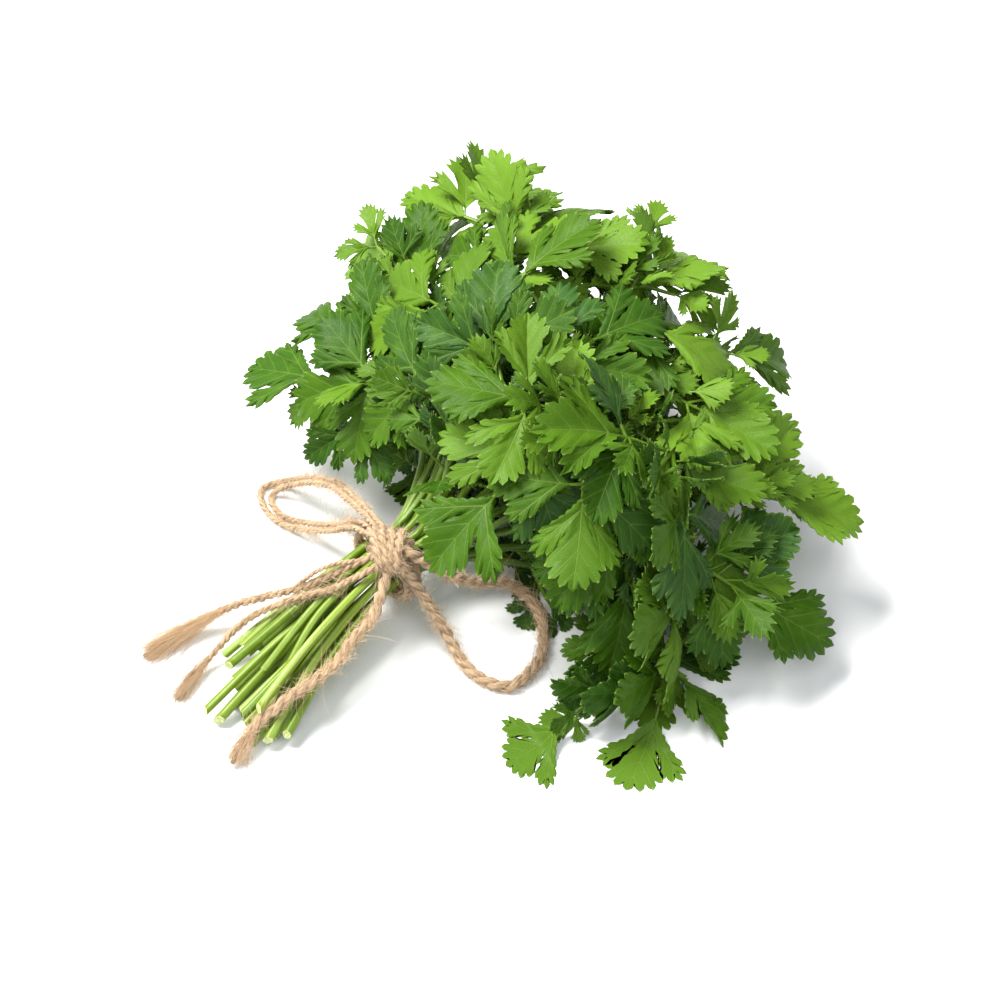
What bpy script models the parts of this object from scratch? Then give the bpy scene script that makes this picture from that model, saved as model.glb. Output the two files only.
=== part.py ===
"""A bunch of flat-leaved herb lying on its side, tied with a doubled jute twine in a bow.

Each leafy stem is one grown piece: a stalk, its side stalks and its three-lobed leaflets.
The stems pass the tie side by side in rows, fan out over the surface towards their cut ends,
and spread on the other side into a low dome of leaves. +X runs from the cut ends to the leaves,
+Z is up, and the origin is under the middle of the bunch, on the surface that it lies on.
All working sizes are in millimetres, measured from the point on the surface below the tie.
"""

import math

import bpy
import numpy as np
from mathutils.bvhtree import BVHTree

METRES = 0.001
SEED = 7

# The tie and the stems inside it.
TIE_HEIGHT = 22.0
SEATS_IN_ROW = (4, 5, 6, 5, 4)
SEAT_PITCH = 3.75
ROW_PITCH = 3.25
TIE_REACH = 9.0

# The stems below the tie, which fan out flat on the surface.
CUT_END_REACH = (48.0, 80.0)
CUT_END_SPREAD = 2.2
CUT_END_SHIFT = -4.0
CUT_END_LOWEST = 1.75
CUT_END_ROW = 2.2

# Stalk radii along one leafy stem.
CUT_RADIUS = 1.7
TIE_RADIUS = 1.55
FORK_RADIUS = 1.15
TIP_RADIUS = 0.75
SIDE_STALK_RADIUS = 0.8
SIDE_STALK_TAPER = (1.0, 0.8)
LEAF_STALK_RADIUS = 0.62

# The points that a stem's line bends at: how many there are below the tie, from the tie to the fork
# and past the fork.
BENDS_BELOW = 3
BENDS_TO_FORK = 7
BENDS_PAST_FORK = 3
STEM_SIDES = 4
FORK = BENDS_BELOW + BENDS_TO_FORK - 1
SECOND_PAIR = FORK + 2
LAST_LEAF = FORK + BENDS_PAST_FORK

# How a stem's line starts out: its flare out of the tie for each millimetre from the tie's middle
# (across, up), its pull towards the tip at the fork, and its lowest run over the surface.
TIE_FLARE = (0.02, 0.03)
FORK_PULL = 0.9
LOWEST_RUN = 2.0

# A leafy stem of size 1.
LAST_LEAF_AT = 0.56
ARCH = 0.10
SIDE_STALK = 22.0
SIDE_STALK_ANGLE = 52.0
LEAFLET_ANGLE = 64.0
END_LEAFLET = 34.0
STALK_LEAFLET = 32.3
SIDE_LEAFLET = 28.5
PAIR_LEAFLET = 29.0
END_STALK = 5.0
PAIR_STALK = 6.5
STALK_RISE = 4.0
DOME_CENTRE = (62.0, -12.0, 14.0)

# What differs from leaflet to leaflet: the ranges of its fold along the midrib, of its sides' turn,
# its tip's droop and its twist, of its breadth, and of three turns in degrees.
BLADE_BENDS = ((0.05, 0.32), (0.1, 0.5), (0.02, 0.3), (-0.25, 0.25))
BREADTHS = (0.92, 1.08)
DROOPS = (-6, 14)
SWINGS = (-6, 6)
TILTS = (-12, 12)
STALK_SWINGS = (-8, 8)
SHORTER = (1.0, 0.84, 0.7)

# The leaflet blade, and how a blade lies on the surface: what counts as reaching it, how deep it may
# be pushed, how level it must be, how steeply it comes down, and how much of its bend is left.
BLADE = 0.8
TOUCHING = 0.5
DEEPEST_LAY = 4.0
LEAST_LEVEL = 0.6
STEEPEST_FALL = 0.7
LAID_DIP = 0.2
LAID_BEND = 0.3

# The room kept between separate stems, and how stems are leaned apart to give it.
ROOM = 0.45
FLOOR_GAP = 0.25
STALK_GAP = 0.8
SAMPLES_PER_BEND = 7
LEAN_ROUNDS = 400
ROUNDS_PER_SEARCH = 8
SEARCH_REACH = 6.0
CLEAR_ENOUGH = 0.12
PUSH_GAIN = 1.6
LONGEST_PUSH = 1.5
TWINE_SAMPLE = 3.0

# One leafy stem a line: row and seat in the tie, then the fork where its first side stalks leave
# and the tip of its end leaflet, then the roll of its blade in degrees and its size.
LEAFY_STEMS = (
    ("front_over_tie", 4, 0, (52, -44, 88), (-3, -30, 50), 0, 0.95),
    ("front_shoulder", 3, 0, (72, -62, 76), (22, -74, 50), -8, 0.95),
    ("crown_near", 4, 1, (30, 0, 68), (72, 40, 84), 0, 0.9),
    ("crown_middle", 2, 3, (40, -14, 80), (98, -24, 92), 8, 0.9),
    ("crown_far", 4, 2, (56, 18, 84), (118, 60, 76), 0, 0.95),
    ("top_back", 3, 3, (76, 40, 76), (132, 94, 60), 0, 1.0),
    ("top_far", 4, 3, (72, 10, 90), (140, 40, 72), 0, 0.95),
    ("far_middle", 3, 2, (84, -8, 86), (152, 4, 62), 0, 0.95),
    ("far_front", 2, 2, (84, -30, 78), (150, -42, 50), 0, 0.95),
    ("right_high", 3, 1, (70, -42, 72), (128, -68, 44), 0, 0.9),
    ("right_low", 2, 1, (70, -58, 56), (120, -104, 34), 0, 0.95),
    ("back_shoulder", 3, 4, (62, 36, 70), (72, 98, 50), 0, 0.9),
    ("back_left", 2, 4, (44, 28, 62), (38, 90, 42), 0, 0.9),
    ("beside_tie_back", 2, 5, (36, 30, 52), (14, 86, 34), 0, 0.9),
    ("front_high", 2, 0, (56, -58, 60), (30, -86, 26), 0, 0.85),
    ("front_low", 1, 0, (66, -76, 20), (10, -116, -18), 0, 0.95),
    ("front_corner", 1, 1, (56, -64, 46), (84, -126, 14), 0, 0.95),
    ("front_floor", 0, 1, (54, -88, 14), (-26, -80, -10), 0, 0.95),
    ("beside_tie_front", 0, 0, (42, -24, 12), (34, -52, -2), 0, 0.65),
    ("inner_front", 1, 2, (56, -22, 38), (118, -46, 26), 0, 0.9),
    ("inner_far", 1, 3, (56, 6, 44), (124, 16, 34), 0, 0.9),
    ("back_floor", 1, 4, (46, 30, 26), (96, 78, -12), 0, 0.9),
    ("far_floor", 0, 2, (66, -4, 14), (138, -10, -14), 0, 0.9),
    ("back_low", 0, 3, (54, 14, 20), (112, 48, 3), 0, 0.9),
)

# The right half of a flat leaflet one unit long, from its base round to its tip. The second point
# is where its side lobe ends.
COARSE_OUTLINE = (
    (0.46, 0.34),
    (0.50, 0.64),
    (0.155, 0.43),
    (0.275, 0.74),
)
LOBE_POINT = 1
LEAF_HEART = (0.0, 0.30)

# The twine: turns round the stems, a knot on top, and the bow's two loops and three tails. The back
# loop is of two thin strands side by side, the front one of a rope of two. A route is a diameter and
# the places that the twine passes, from the knot on, in loops back to it.
STRAND = 2.4
ROPE = 4.2
WRAPS = 4
BAND_RADII = (12.6, 10.2)
BAND_CROWN = (0.6, 0.7)
BAND_SIDES = 20
KNOT_CENTRE = (-3.0, -5.0, 36.0)
KNOT_RING = (4.6, 3.0)
KNOT_RING_TUBE = (2.0, 3.0)
KNOT_RING_SIDES = (8, 12)
KNOT_BAR_RADIUS = 2.9
KNOT_BAR = ((-8.5, -2.0), (-4.5, 0.0), (4.0, 0.2), (8.5, -0.6))
KNOT_BAR_TAPER = (0.8, 1.0, 1.0, 0.8)
CORD_STEP = 2.8
CORD_SIDES = 8
CORD_ROUTES = {
    "bow_loop_front": (
        ROPE,
        (
            (1.6, -14.4, 35.2),
            (8.8, -21.6, 27.0),
            (17.0, -25.6, 20.0),
            (27.0, -27.4, 14.0),
            (32.8, -31.6, 9.0),
            (33.8, -38.3, 5.0),
            (30.6, -45.5, 2.8),
            (22.5, -53.4, 2.2),
            (13.8, -56.8, 2.2),
            (4.8, -56.4, 2.2),
            (0.2, -48.3, 2.4),
            (-0.6, -38.8, 4.0),
            (0.2, -29.0, 11.0),
            (-1.2, -21.5, 21.0),
            (-3.6, -14.8, 32.0),
        ),
    ),
    "bow_loop_back_outer": (
        STRAND,
        (
            (1.0, 4.4, 36.6),
            (3.0, 12.0, 34.5),
            (6.0, 25.0, 30.0),
            (9.0, 38.5, 24.0),
            (8.8, 51.4, 16.0),
            (7.4, 62.6, 7.0),
            (4.8, 69.0, 2.2),
            (0.0, 71.0, 1.3),
            (-4.6, 66.0, 1.3),
            (-6.3, 56.0, 1.4),
            (-4.4, 45.0, 4.5),
            (-2.5, 31.0, 13.5),
            (-3.2, 18.5, 26.0),
            (-4.6, 11.0, 33.3),
            (-5.0, 4.4, 36.4),
        ),
    ),
    "bow_loop_back_inner": (
        STRAND,
        (
            (-2.0, 4.4, 38.9),
            (0.0, 12.0, 36.8),
            (3.0, 25.0, 31.6),
            (5.9, 38.0, 25.2),
            (5.7, 50.0, 17.2),
            (4.4, 60.0, 8.4),
            (2.2, 65.2, 3.0),
            (-0.6, 65.4, 1.3),
            (-2.7, 61.0, 1.3),
            (-3.1, 54.0, 1.8),
            (-1.2, 45.0, 5.2),
            (0.6, 31.0, 14.2),
            (-0.1, 18.5, 26.8),
            (-1.6, 11.0, 33.8),
            (-2.0, 4.4, 36.0),
        ),
    ),
    "tail_back": (
        STRAND + 0.8,
        (
            (-10.6, -3.3, 35.0),
            (-22.7, 2.5, 30.4),
            (-31.5, 8.9, 25.0),
            (-38.4, 18.6, 17.5),
            (-45.6, 27.8, 10.5),
            (-53.7, 32.9, 5.5),
            (-65.1, 36.5, 2.4),
            (-79.0, 36.7, 2.0),
        ),
    ),
    "tail_middle": (
        STRAND + 0.2,
        (
            (-10.6, -7.4, 34.2),
            (-24.6, -1.8, 29.0),
            (-33.4, 4.8, 25.8),
            (-40.5, 10.2, 22.0),
            (-46.6, 15.7, 16.5),
            (-53.3, 19.3, 10.0),
            (-63.6, 19.5, 4.5),
            (-72.5, 18.5, 2.2),
            (-81.8, 14.8, 1.6),
        ),
    ),
    "tail_front": (
        ROPE,
        (
            (-9.3, -11.4, 32.8),
            (-20.6, -17.0, 25.0),
            (-30.5, -18.2, 21.5),
            (-41.0, -20.4, 18.5),
            (-53.9, -19.7, 16.5),
            (-65.0, -17.6, 12.5),
            (-73.5, -16.4, 7.5),
            (-84.7, -19.3, 2.4),
        ),
    ),
}

SMOOTH_BELOW = math.radians(50)
LEAF_GREEN = (0.055, 0.20, 0.025, 1.0)
TWINE_TAN = (0.60, 0.37, 0.20, 1.0)


# Vectors and smooth routes.


def unit(vector):
    return np.asarray(vector, float) / np.linalg.norm(vector)


def square_to(vector, axis):
    """The part of a vector that is square to a unit axis, at length 1."""
    return unit(vector - np.dot(vector, axis) * axis)


def turned(vector, axis, degrees):
    """A vector turned about a unit axis, by Rodrigues' formula."""
    angle = math.radians(degrees)
    across = np.cross(axis, vector)
    along = axis * np.dot(axis, vector)
    return vector * math.cos(angle) + across * math.sin(angle) + along * (1 - math.cos(angle))


def smooth_route(points, step, per_span=24):
    """Points about step apart on a Catmull-Rom curve through the given ones."""
    points = np.asarray(points, float)
    ends = np.vstack([2 * points[0] - points[1], points, 2 * points[-1] - points[-2]])
    found = [points[0]]
    for a, b, c, d in zip(ends, ends[1:], ends[2:], ends[3:]):
        for t in np.linspace(0, 1, per_span + 1)[1:]:
            bend = (2 * a - 5 * b + 4 * c - d) * t**2 + (3 * b - a - 3 * c + d) * t**3
            found.append(0.5 * (2 * b + (c - a) * t + bend))
    return spaced(np.array(found), step)


def spaced(line, step):
    """The same line with its points about step apart."""
    along = np.concatenate([[0], np.cumsum(np.linalg.norm(np.diff(line, axis=0), axis=1))])
    count = max(2, round(along[-1] / step) + 1)
    at = np.linspace(0, along[-1], count)
    return np.stack([np.interp(at, along, line[:, k]) for k in range(3)], axis=1)


# Shapes, each as (points, faces) in millimetres.


def tube(line, radii, sides):
    """A closed round tube along a line, with a flat cap at each end."""
    line = np.asarray(line, float)
    radii = np.broadcast_to(radii, len(line))
    tangents = np.gradient(line, axis=0)
    tangents /= np.linalg.norm(tangents, axis=1)[:, None]
    across = square_to(np.array([0.13, 0.31, 1.0]), tangents[0])
    angles = 2 * np.pi * np.arange(sides) / sides
    rings = []
    for point, tangent, radius in zip(line, tangents, radii):
        across = square_to(across, tangent)
        other = np.cross(tangent, across)
        rings.append(point + radius * (np.outer(np.cos(angles), across) + np.outer(np.sin(angles), other)))
    faces = [
        (r * sides + i, r * sides + (i + 1) % sides, (r + 1) * sides + (i + 1) % sides, (r + 1) * sides + i)
        for r in range(len(line) - 1)
        for i in range(sides)
    ]
    last = (len(line) - 1) * sides
    faces.append(tuple(range(sides - 1, -1, -1)))
    faces.append(tuple(range(last, last + sides)))
    return np.vstack(rings), faces


def ring_solid(profile, centre, radii, sides, plane):
    """A closed ring: a profile of (outward, along) points, listed anticlockwise, carried round an
    ellipse in a plane."""
    profile = np.asarray(profile, float)[::-1]
    first, second = plane
    axis = np.cross(first, second)
    rings = []
    for angle in 2 * np.pi * np.arange(sides) / sides:
        spoke = math.cos(angle) * radii[0] * first + math.sin(angle) * radii[1] * second
        outward = unit(math.cos(angle) * radii[1] * first + math.sin(angle) * radii[0] * second)
        rings.append(centre + spoke + np.outer(profile[:, 0], outward) + np.outer(profile[:, 1], axis))
    n = len(profile)
    faces = [
        (s * n + i, s * n + (i + 1) % n, (s + 1) % sides * n + (i + 1) % n, (s + 1) % sides * n + i)
        for s in range(sides)
        for i in range(n)
    ]
    return np.vstack(rings), faces


def blade_height(x, y, form):
    """How far a point of a unit leaflet stands off its flat plane: folded up from the midrib,
    turned down at the sides and the tip, and twisted along its length."""
    fold, turn, droop, twist = form
    return fold * np.abs(x) - turn * x * x - droop * y * y + twist * x * (y - 0.3)


def to_world(local, base, axes, length):
    return base + length * (local @ axes)


def leaf_outline(breadth):
    """The outline points of a unit leaflet, from its base round by its right, and which of them
    are the points of its three lobes."""
    right = np.array(COARSE_OUTLINE)
    outline = np.vstack([right, [[0, 1]], right[::-1] * (-1, 1)]) * (breadth, 1)
    count = len(right)
    pointed = {LOBE_POINT, count, 2 * count - LOBE_POINT}
    return outline, pointed


def on_surface(points, lowest):
    """The points, with those that are lower than the given height raised to it."""
    points[:, 2] = np.maximum(points[:, 2], lowest)
    return points


def leaflet(leaf, extra=0.0, stalked=True):
    """A leaflet and its short stalk as one thin solid. The lobed blade is fanned from its heart on
    both faces alike, its lobes are drawn out to points, and the three-sided stalk runs from its
    base to its root. What would reach below the surface lies flat on it. With extra it is that
    much larger on every side."""
    outline, pointed = leaf_outline(leaf["breadth"])
    outline = LEAF_HEART + (outline - LEAF_HEART) * (1 + 2 * extra / leaf["length"])
    half_stalk = LEAF_STALK_RADIUS / leaf["length"]
    base = np.array([[-half_stalk, 0], [half_stalk, 0]])
    flat = np.vstack([[LEAF_HEART], base, outline])
    height = blade_height(flat[:, 0], flat[:, 1], leaf["form"])
    middle = to_world(np.column_stack([flat, height]), leaf["base"], leaf["axes"], leaf["length"])
    offset = leaf["axes"][2] * (BLADE / 2 + extra)
    faces_up = offset[2] >= 0
    top = on_surface(middle + offset, BLADE + extra if faces_up else 0.0)
    under = on_surface(middle - offset, 0.0 if faces_up else BLADE + extra)
    for i in pointed:
        top[3 + i] = (top[3 + i] + under[3 + i]) / 2
    keel = (under[1] + under[2]) / 2
    root = leaf["root"] - leaf["base"]
    points = [*top, under[0], keel, *(p + root for p in (top[1], top[2], keel))]
    heart, left, right, rim = 0, 1, 2, list(range(3, len(top)))
    under_heart = len(top)
    keel_at, root_left, root_right, root_keel = range(under_heart + 1, under_heart + 5)
    below = []
    for i, at in enumerate(rim):
        if i in pointed:
            below.append(at)
        else:
            below.append(len(points))
            points.append(under[at])
    around = [right, *rim, left]
    around_below = [keel_at, *below, keel_at]
    faces = [(heart, left, right)]
    for i in range(len(around) - 1):
        a, b = around[i], around[i + 1]
        c, d = around_below[i], around_below[i + 1]
        faces.append((heart, a, b))
        faces.append((under_heart, d, c))
        if a != c:
            faces.append((a, c, d))
        if b != d:
            faces.append((a, d, b))
    if not stalked:
        return np.array(points), faces + [(keel_at, right, left)]
    faces += [(right, root_right, root_keel), (right, root_keel, keel_at)]
    faces += [(keel_at, root_keel, root_left), (keel_at, root_left, left)]
    faces += [(left, root_left, root_right), (left, root_right, right)]
    faces.append((root_keel, root_right, root_left))
    return np.array(points), faces


def lies_badly(leaf):
    """Whether a leaflet would be pushed far through the surface, or stand on edge in it."""
    outline, _ = leaf_outline(leaf["breadth"])
    height = blade_height(outline[:, 0], outline[:, 1], leaf["form"])
    placed = to_world(np.column_stack([outline, height]), leaf["base"], leaf["axes"], leaf["length"])
    lowest = placed[:, 2].min()
    too_deep = lowest < -DEEPEST_LAY and not leaf["laid"]
    on_edge = lowest < TOUCHING and abs(leaf["axes"][2][2]) < LEAST_LEVEL
    return leaf["base"][2] < BLADE + LEAF_STALK_RADIUS or too_deep or on_edge


def laid_down(leaf):
    """The same leaflet where it would dip into the surface: it comes down from its base until its
    heart is on the surface, and lies flat from there."""
    along = leaf["axes"][1]
    if leaf["base"][2] + along[2] * leaf["length"] > TOUCHING:
        return leaf
    fall = min((leaf["base"][2] + LAID_DIP) / (LEAF_HEART[1] * leaf["length"]), STEEPEST_FALL)
    level = unit(along * (1, 1, 0))
    along = level * math.sqrt(1 - fall**2) - np.array([0, 0, fall])
    up = square_to(np.array([0, 0, 1.0]), along)
    form = tuple(LAID_BEND * bend for bend in leaf["form"])
    return {**leaf, "axes": np.array([np.cross(along, up), along, up]), "form": form, "laid": True}


# Keeping separate stems clear of each other.


class Crowd:
    """What is already in place, so that the next piece can be bent clear of it."""

    def __init__(self):
        self.trees = []
        self.owners = []
        self.kinds = []
        self.lows = np.empty((0, 3))
        self.highs = np.empty((0, 3))

    def add(self, owner, kind, shape):
        points, faces = shape
        self.trees.append(BVHTree.FromPolygons(points.tolist(), faces))
        self.owners.append(owner)
        self.kinds.append(kind)
        self.lows = np.vstack([self.lows, points.min(0)])
        self.highs = np.vstack([self.highs, points.max(0)])

    def meets(self, owner, shape, own_blades=False):
        """Whether a shape crosses a piece of another owner, or else a blade of its own."""
        points, faces = shape
        near = np.flatnonzero((self.lows <= points.max(0)).all(1) & (self.highs >= points.min(0)).all(1))
        if own_blades:
            others = [i for i in near if self.owners[i] == owner and self.kinds[i] == "blade"]
        else:
            others = [i for i in near if self.owners[i] != owner and self.kinds[i] != "blade"]
        if not others:
            return False
        tree = BVHTree.FromPolygons(points.tolist(), faces)
        return any(tree.overlap(self.trees[i]) for i in others)


def bends(pitches, yaws, rolls):
    """Every mix of these turns, the gentlest first."""
    mixes = [(p, y, r) for p in pitches for y in yaws for r in rolls]
    return sorted(mixes, key=lambda turn: abs(turn[0]) + 0.8 * abs(turn[1]) + 0.6 * abs(turn[2]))


LEAF_BENDS = bends((0, -14, 14, -28, 28, -44, 44), (0, 16, -16, 32, -32), (0, 22, -22))
STALK_BENDS = bends((0, -12, 12, -25, 25, -38), (0, 14, -14, 28, -28), (0,))


def sampling(bends_in_line, samples):
    """The matrix that takes a line's bends to evenly spread samples on its straight runs."""
    at = np.linspace(0, bends_in_line - 1, (bends_in_line - 1) * samples + 1)
    return np.stack([np.interp(at, np.arange(bends_in_line), row) for row in np.eye(bends_in_line)], axis=1)


def lean_apart(lines, radii, pinned, twine):
    """Pushes stems off each other, off the twine and off the surface, a little at a time, until
    their round sides are clear. The pinned bends stay where they are."""
    spread = sampling(lines.shape[1], SAMPLES_PER_BEND)
    gather = spread.T / spread.sum(0)[:, None]
    thick = np.tile(spread @ radii, len(lines))
    stem = np.repeat(np.arange(len(lines)), len(spread))
    twine_points, twine_radii = twine
    for step in range(LEAN_ROUNDS):
        points = (spread @ lines).reshape(-1, 3)
        if step % ROUNDS_PER_SEARCH == 0:
            lengths = (points**2).sum(1)
            squares = lengths[:, None] + lengths - 2 * points @ points.T
            near = squares < (thick[:, None] + thick + SEARCH_REACH) ** 2
            first, second = np.nonzero(near & (stem[:, None] < stem))
            to_twine = ((points[:, None] - twine_points) ** 2).sum(2)
            beside, by_twine = np.nonzero(to_twine < (thick[:, None] + twine_radii + SEARCH_REACH) ** 2)
        push = np.zeros_like(points)
        away = points[first] - points[second]
        gaps = np.linalg.norm(away, axis=1)
        deep = np.maximum(thick[first] + thick[second] + ROOM - gaps, 0)
        move = away * (deep / gaps / 2)[:, None]
        np.add.at(push, first, move)
        np.add.at(push, second, -move)
        away = points[beside] - twine_points[by_twine]
        gaps = np.linalg.norm(away, axis=1)
        over = np.maximum(thick[beside] + twine_radii[by_twine] + ROOM - gaps, 0)
        np.add.at(push, beside, away * (over / gaps)[:, None])
        push[:, 2] += np.maximum(thick + FLOOR_GAP - points[:, 2], 0)
        worst = max(deep.max(), over.max())
        if worst < CLEAR_ENOUGH:
            break
        moves = (gather @ push.reshape(len(lines), -1, 3)) * PUSH_GAIN
        moves[:, pinned] = 0
        moves[:, 1:-1] = 0.25 * moves[:, :-2] + 0.5 * moves[:, 1:-1] + 0.25 * moves[:, 2:]
        moves[:, pinned] = 0
        lines = lines + np.clip(moves, -LONGEST_PUSH, LONGEST_PUSH)
    print("stems overlap their room by", round(float(worst), 3), "mm after", step, "rounds")
    return lines


# One leafy stem: its route, its side stalks and its leaflets.


def seat_place(row, seat):
    """Where a stem passes the tie: (across, up)."""
    across = (seat - (SEATS_IN_ROW[row] - 1) / 2) * SEAT_PITCH
    up = (row - (len(SEATS_IN_ROW) - 1) / 2) * ROW_PITCH
    return across, up


def hermite(start, leave, end, arrive, t):
    """The cubic curve from start to end that leaves and arrives with these tangents."""
    return (
        (2 * t**3 - 3 * t**2 + 1) * start
        + (t**3 - 2 * t**2 + t) * leave
        + (-2 * t**3 + 3 * t**2) * end
        + (t**3 - t**2) * arrive
    )


def stem_route(stem, reach):
    """The bends of a stem's line: its cut end, up through the tie, on to its fork, and past that
    on an arch towards its tip."""
    _, row, seat, fork, tip, _, _ = stem
    across, up = seat_place(row, seat)
    cut = np.array([-reach, CUT_END_SHIFT + CUT_END_SPREAD * across, CUT_END_LOWEST + CUT_END_ROW * row])
    tie = np.array([0.0, across, TIE_HEIGHT + up])
    into_tie = tie - (TIE_REACH, 0, 0)
    out_of_tie = tie + (TIE_REACH, 0, 0)
    fork, tip = np.array(fork, float), np.array(tip, float)
    ahead = tip - fork
    lift = np.array([0, 0, 4 * ARCH * np.linalg.norm(ahead)])
    fall = np.linalg.norm(into_tie - cut)
    t = np.linspace(0, 1, BENDS_BELOW)[:, None]
    below = hermite(cut, into_tie - cut, into_tie, np.array([fall, 0, 0]), t)
    span = np.linalg.norm(fork - out_of_tie)
    leave = np.array([1.0, TIE_FLARE[0] * across, TIE_FLARE[1] * up]) * span
    t = np.linspace(0, 1, BENDS_TO_FORK)[:, None]
    above = hermite(out_of_tie, leave, fork, unit(ahead + lift) * span * FORK_PULL, t)
    share = np.linspace(0, LAST_LEAF_AT, BENDS_PAST_FORK + 1)[1:, None]
    past = fork + ahead * share + lift * share * (1 - share)
    line = np.vstack([below, above, past])
    return on_surface(line, LOWEST_RUN)


def stem_frame(stem, line, bend):
    """(along, sideways, outward) where a stem's line bends."""
    ahead = min(bend + 1, len(line) - 1)
    along = unit(line[ahead] - line[bend - 1])
    outward = turned(square_to(line[bend] - np.array(DOME_CENTRE), along), along, stem[5])
    return along, np.cross(along, outward), outward


def leaf_axes(along, outward, bend):
    """A leaflet's axes (across, along, up) after it is pitched, swung and rolled."""
    pitch, yaw, roll = bend
    up = square_to(outward, along)
    along = turned(along, up, yaw)
    across = np.cross(along, up)
    along = turned(along, across, pitch)
    up = np.cross(across, along)
    up = turned(up, along, roll)
    return np.array([np.cross(along, up), along, up])


def place_leaf(crowd, owner, root, along, outward, length, stalk, draw):
    """Grows a leaflet on its short stalk, bent until it is clear. None if it has no room."""
    form = tuple(draw.uniform(*between) for between in BLADE_BENDS)
    breadth = draw.uniform(*BREADTHS)
    droop = draw.uniform(*DROOPS)
    swing = draw.uniform(*SWINGS)
    tilt = draw.uniform(*TILTS)
    for scale in SHORTER:
        for pitch, yaw, roll in LEAF_BENDS:
            axes = leaf_axes(along, outward, (pitch - droop, yaw + swing, roll + tilt))
            base = root + stalk * scale * unit(along + axes[1])
            leaf = {
                "base": base,
                "axes": axes,
                "length": length * scale,
                "form": form,
                "breadth": breadth,
                "root": root,
                "laid": False,
            }
            leaf = laid_down(leaf)
            if lies_badly(leaf) or crowd.meets(owner, leaflet(leaf, ROOM)):
                continue
            if crowd.meets(owner, leaflet(leaf, ROOM, stalked=False), own_blades=True):
                continue
            crowd.add(owner, "blade", leaflet(leaf, stalked=False))
            crowd.add(owner, "leaflet", leaflet(leaf))
            return leaf
    return None


def side_stalk(root, end, extra=0.0):
    """A straight side stalk, that much larger with extra."""
    radii = np.array(SIDE_STALK_TAPER) * SIDE_STALK_RADIUS + extra
    return tube((root, end), radii, STEM_SIDES)


def grow_stalk(crowd, owner, root, along, outward, length):
    """A side stalk bent until it is clear, as (end, shape, along, outward). None if it has no room."""
    for pitch, yaw, _ in STALK_BENDS:
        _, way, up = leaf_axes(along, outward, (pitch - STALK_RISE, yaw, 0))
        end = root + way * length
        if min(root[2], end[2]) < SIDE_STALK_RADIUS + STALK_GAP:
            continue
        if not crowd.meets(owner, side_stalk(root, end, ROOM)):
            shape = side_stalk(root, end)
            crowd.add(owner, "stalk", shape)
            return end, shape, way, up
    return None


def stem_radii():
    """The stem's radius at each of its bends."""
    at = (0, BENDS_BELOW, FORK, LAST_LEAF)
    return np.interp(np.arange(LAST_LEAF + 1), at, (CUT_RADIUS, TIE_RADIUS, FORK_RADIUS, TIP_RADIUS))


def settled_stems(draws, twine):
    """Every stem's line, leaning clear of the others."""
    lines = [stem_route(stem, draw.uniform(*CUT_END_REACH)) for stem, draw in zip(LEAFY_STEMS, draws)]
    pinned = np.zeros(LAST_LEAF + 1, bool)
    pinned[BENDS_BELOW - 1 : BENDS_BELOW + 1] = True
    return lean_apart(np.array(lines), stem_radii(), pinned, twine)


def grow_leaves(crowd, owner, stem, line, draw):
    """Every side stalk and leaflet of a leafy stem: (stalk shapes, leaflets)."""
    size = stem[6]
    stalks, leaves = [], []

    def leaf(root, along, outward, length, stalk):
        grown = place_leaf(crowd, owner, root, along, outward, length * size, stalk * size, draw)
        if grown is not None:
            leaves.append(grown)

    def way_off(along, sideways, angle, side):
        angle = math.radians(angle + draw.uniform(*STALK_SWINGS))
        return math.cos(angle) * along + side * math.sin(angle) * sideways

    along, sideways, outward = stem_frame(stem, line, LAST_LEAF)
    leaf(line[LAST_LEAF], along, outward, END_LEAFLET, END_STALK)
    along, sideways, outward = stem_frame(stem, line, FORK)
    for side in (1, -1):
        way = way_off(along, sideways, SIDE_STALK_ANGLE, side)
        grown = grow_stalk(crowd, owner, line[FORK], way, outward, SIDE_STALK * size)
        if grown is None:
            continue
        end, shape, way, up = grown
        stalks.append(shape)
        leaf(end, way, up, STALK_LEAFLET, END_STALK)
        for turn in (1, -1):
            leaf(end, way_off(way, np.cross(way, up), LEAFLET_ANGLE, turn), up, SIDE_LEAFLET, END_STALK)
    along, sideways, outward = stem_frame(stem, line, SECOND_PAIR)
    for side in (1, -1):
        way = way_off(along, sideways, SIDE_STALK_ANGLE, side)
        leaf(line[SECOND_PAIR], way, outward, PAIR_LEAFLET, PAIR_STALK)
    return stalks, leaves


# The twine: a band of turns round the stems, a knot on it, and the bow's free loops and tails.


def band_shape():
    """The turns of twine round the stems, as one ring with a crowned outside."""
    half = WRAPS * STRAND / 2
    edge, top = BAND_CROWN[0] * STRAND, BAND_CROWN[1] * half
    profile = [(0, half), (0, -half), (edge, -half), (STRAND, -top), (STRAND, top), (edge, half)]
    centre = np.array([0, 0, TIE_HEIGHT])
    across, up = np.array([0, 1.0, 0]), np.array([0, 0, 1.0])
    return ring_solid(profile, centre, BAND_RADII, BAND_SIDES, (across, up))


def knot_shapes():
    """The knot: a turn of doubled twine round a short bar of it that the bow leaves from."""
    centre = np.array(KNOT_CENTRE)
    around_tube, around_ring = KNOT_RING_SIDES
    angles = 2 * np.pi * np.arange(around_tube) / around_tube
    profile = np.stack([np.cos(angles), np.sin(angles)], axis=1) * KNOT_RING_TUBE
    along, up = np.array([1.0, 0, 0]), np.array([0, 0, 1.0])
    turn = ring_solid(profile, centre, KNOT_RING, around_ring, (along, up))
    line = [centre + (0, y, z) for y, z in KNOT_BAR]
    bar = tube(line, np.array(KNOT_BAR_TAPER) * KNOT_BAR_RADIUS, CORD_SIDES)
    return turn, bar


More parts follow.
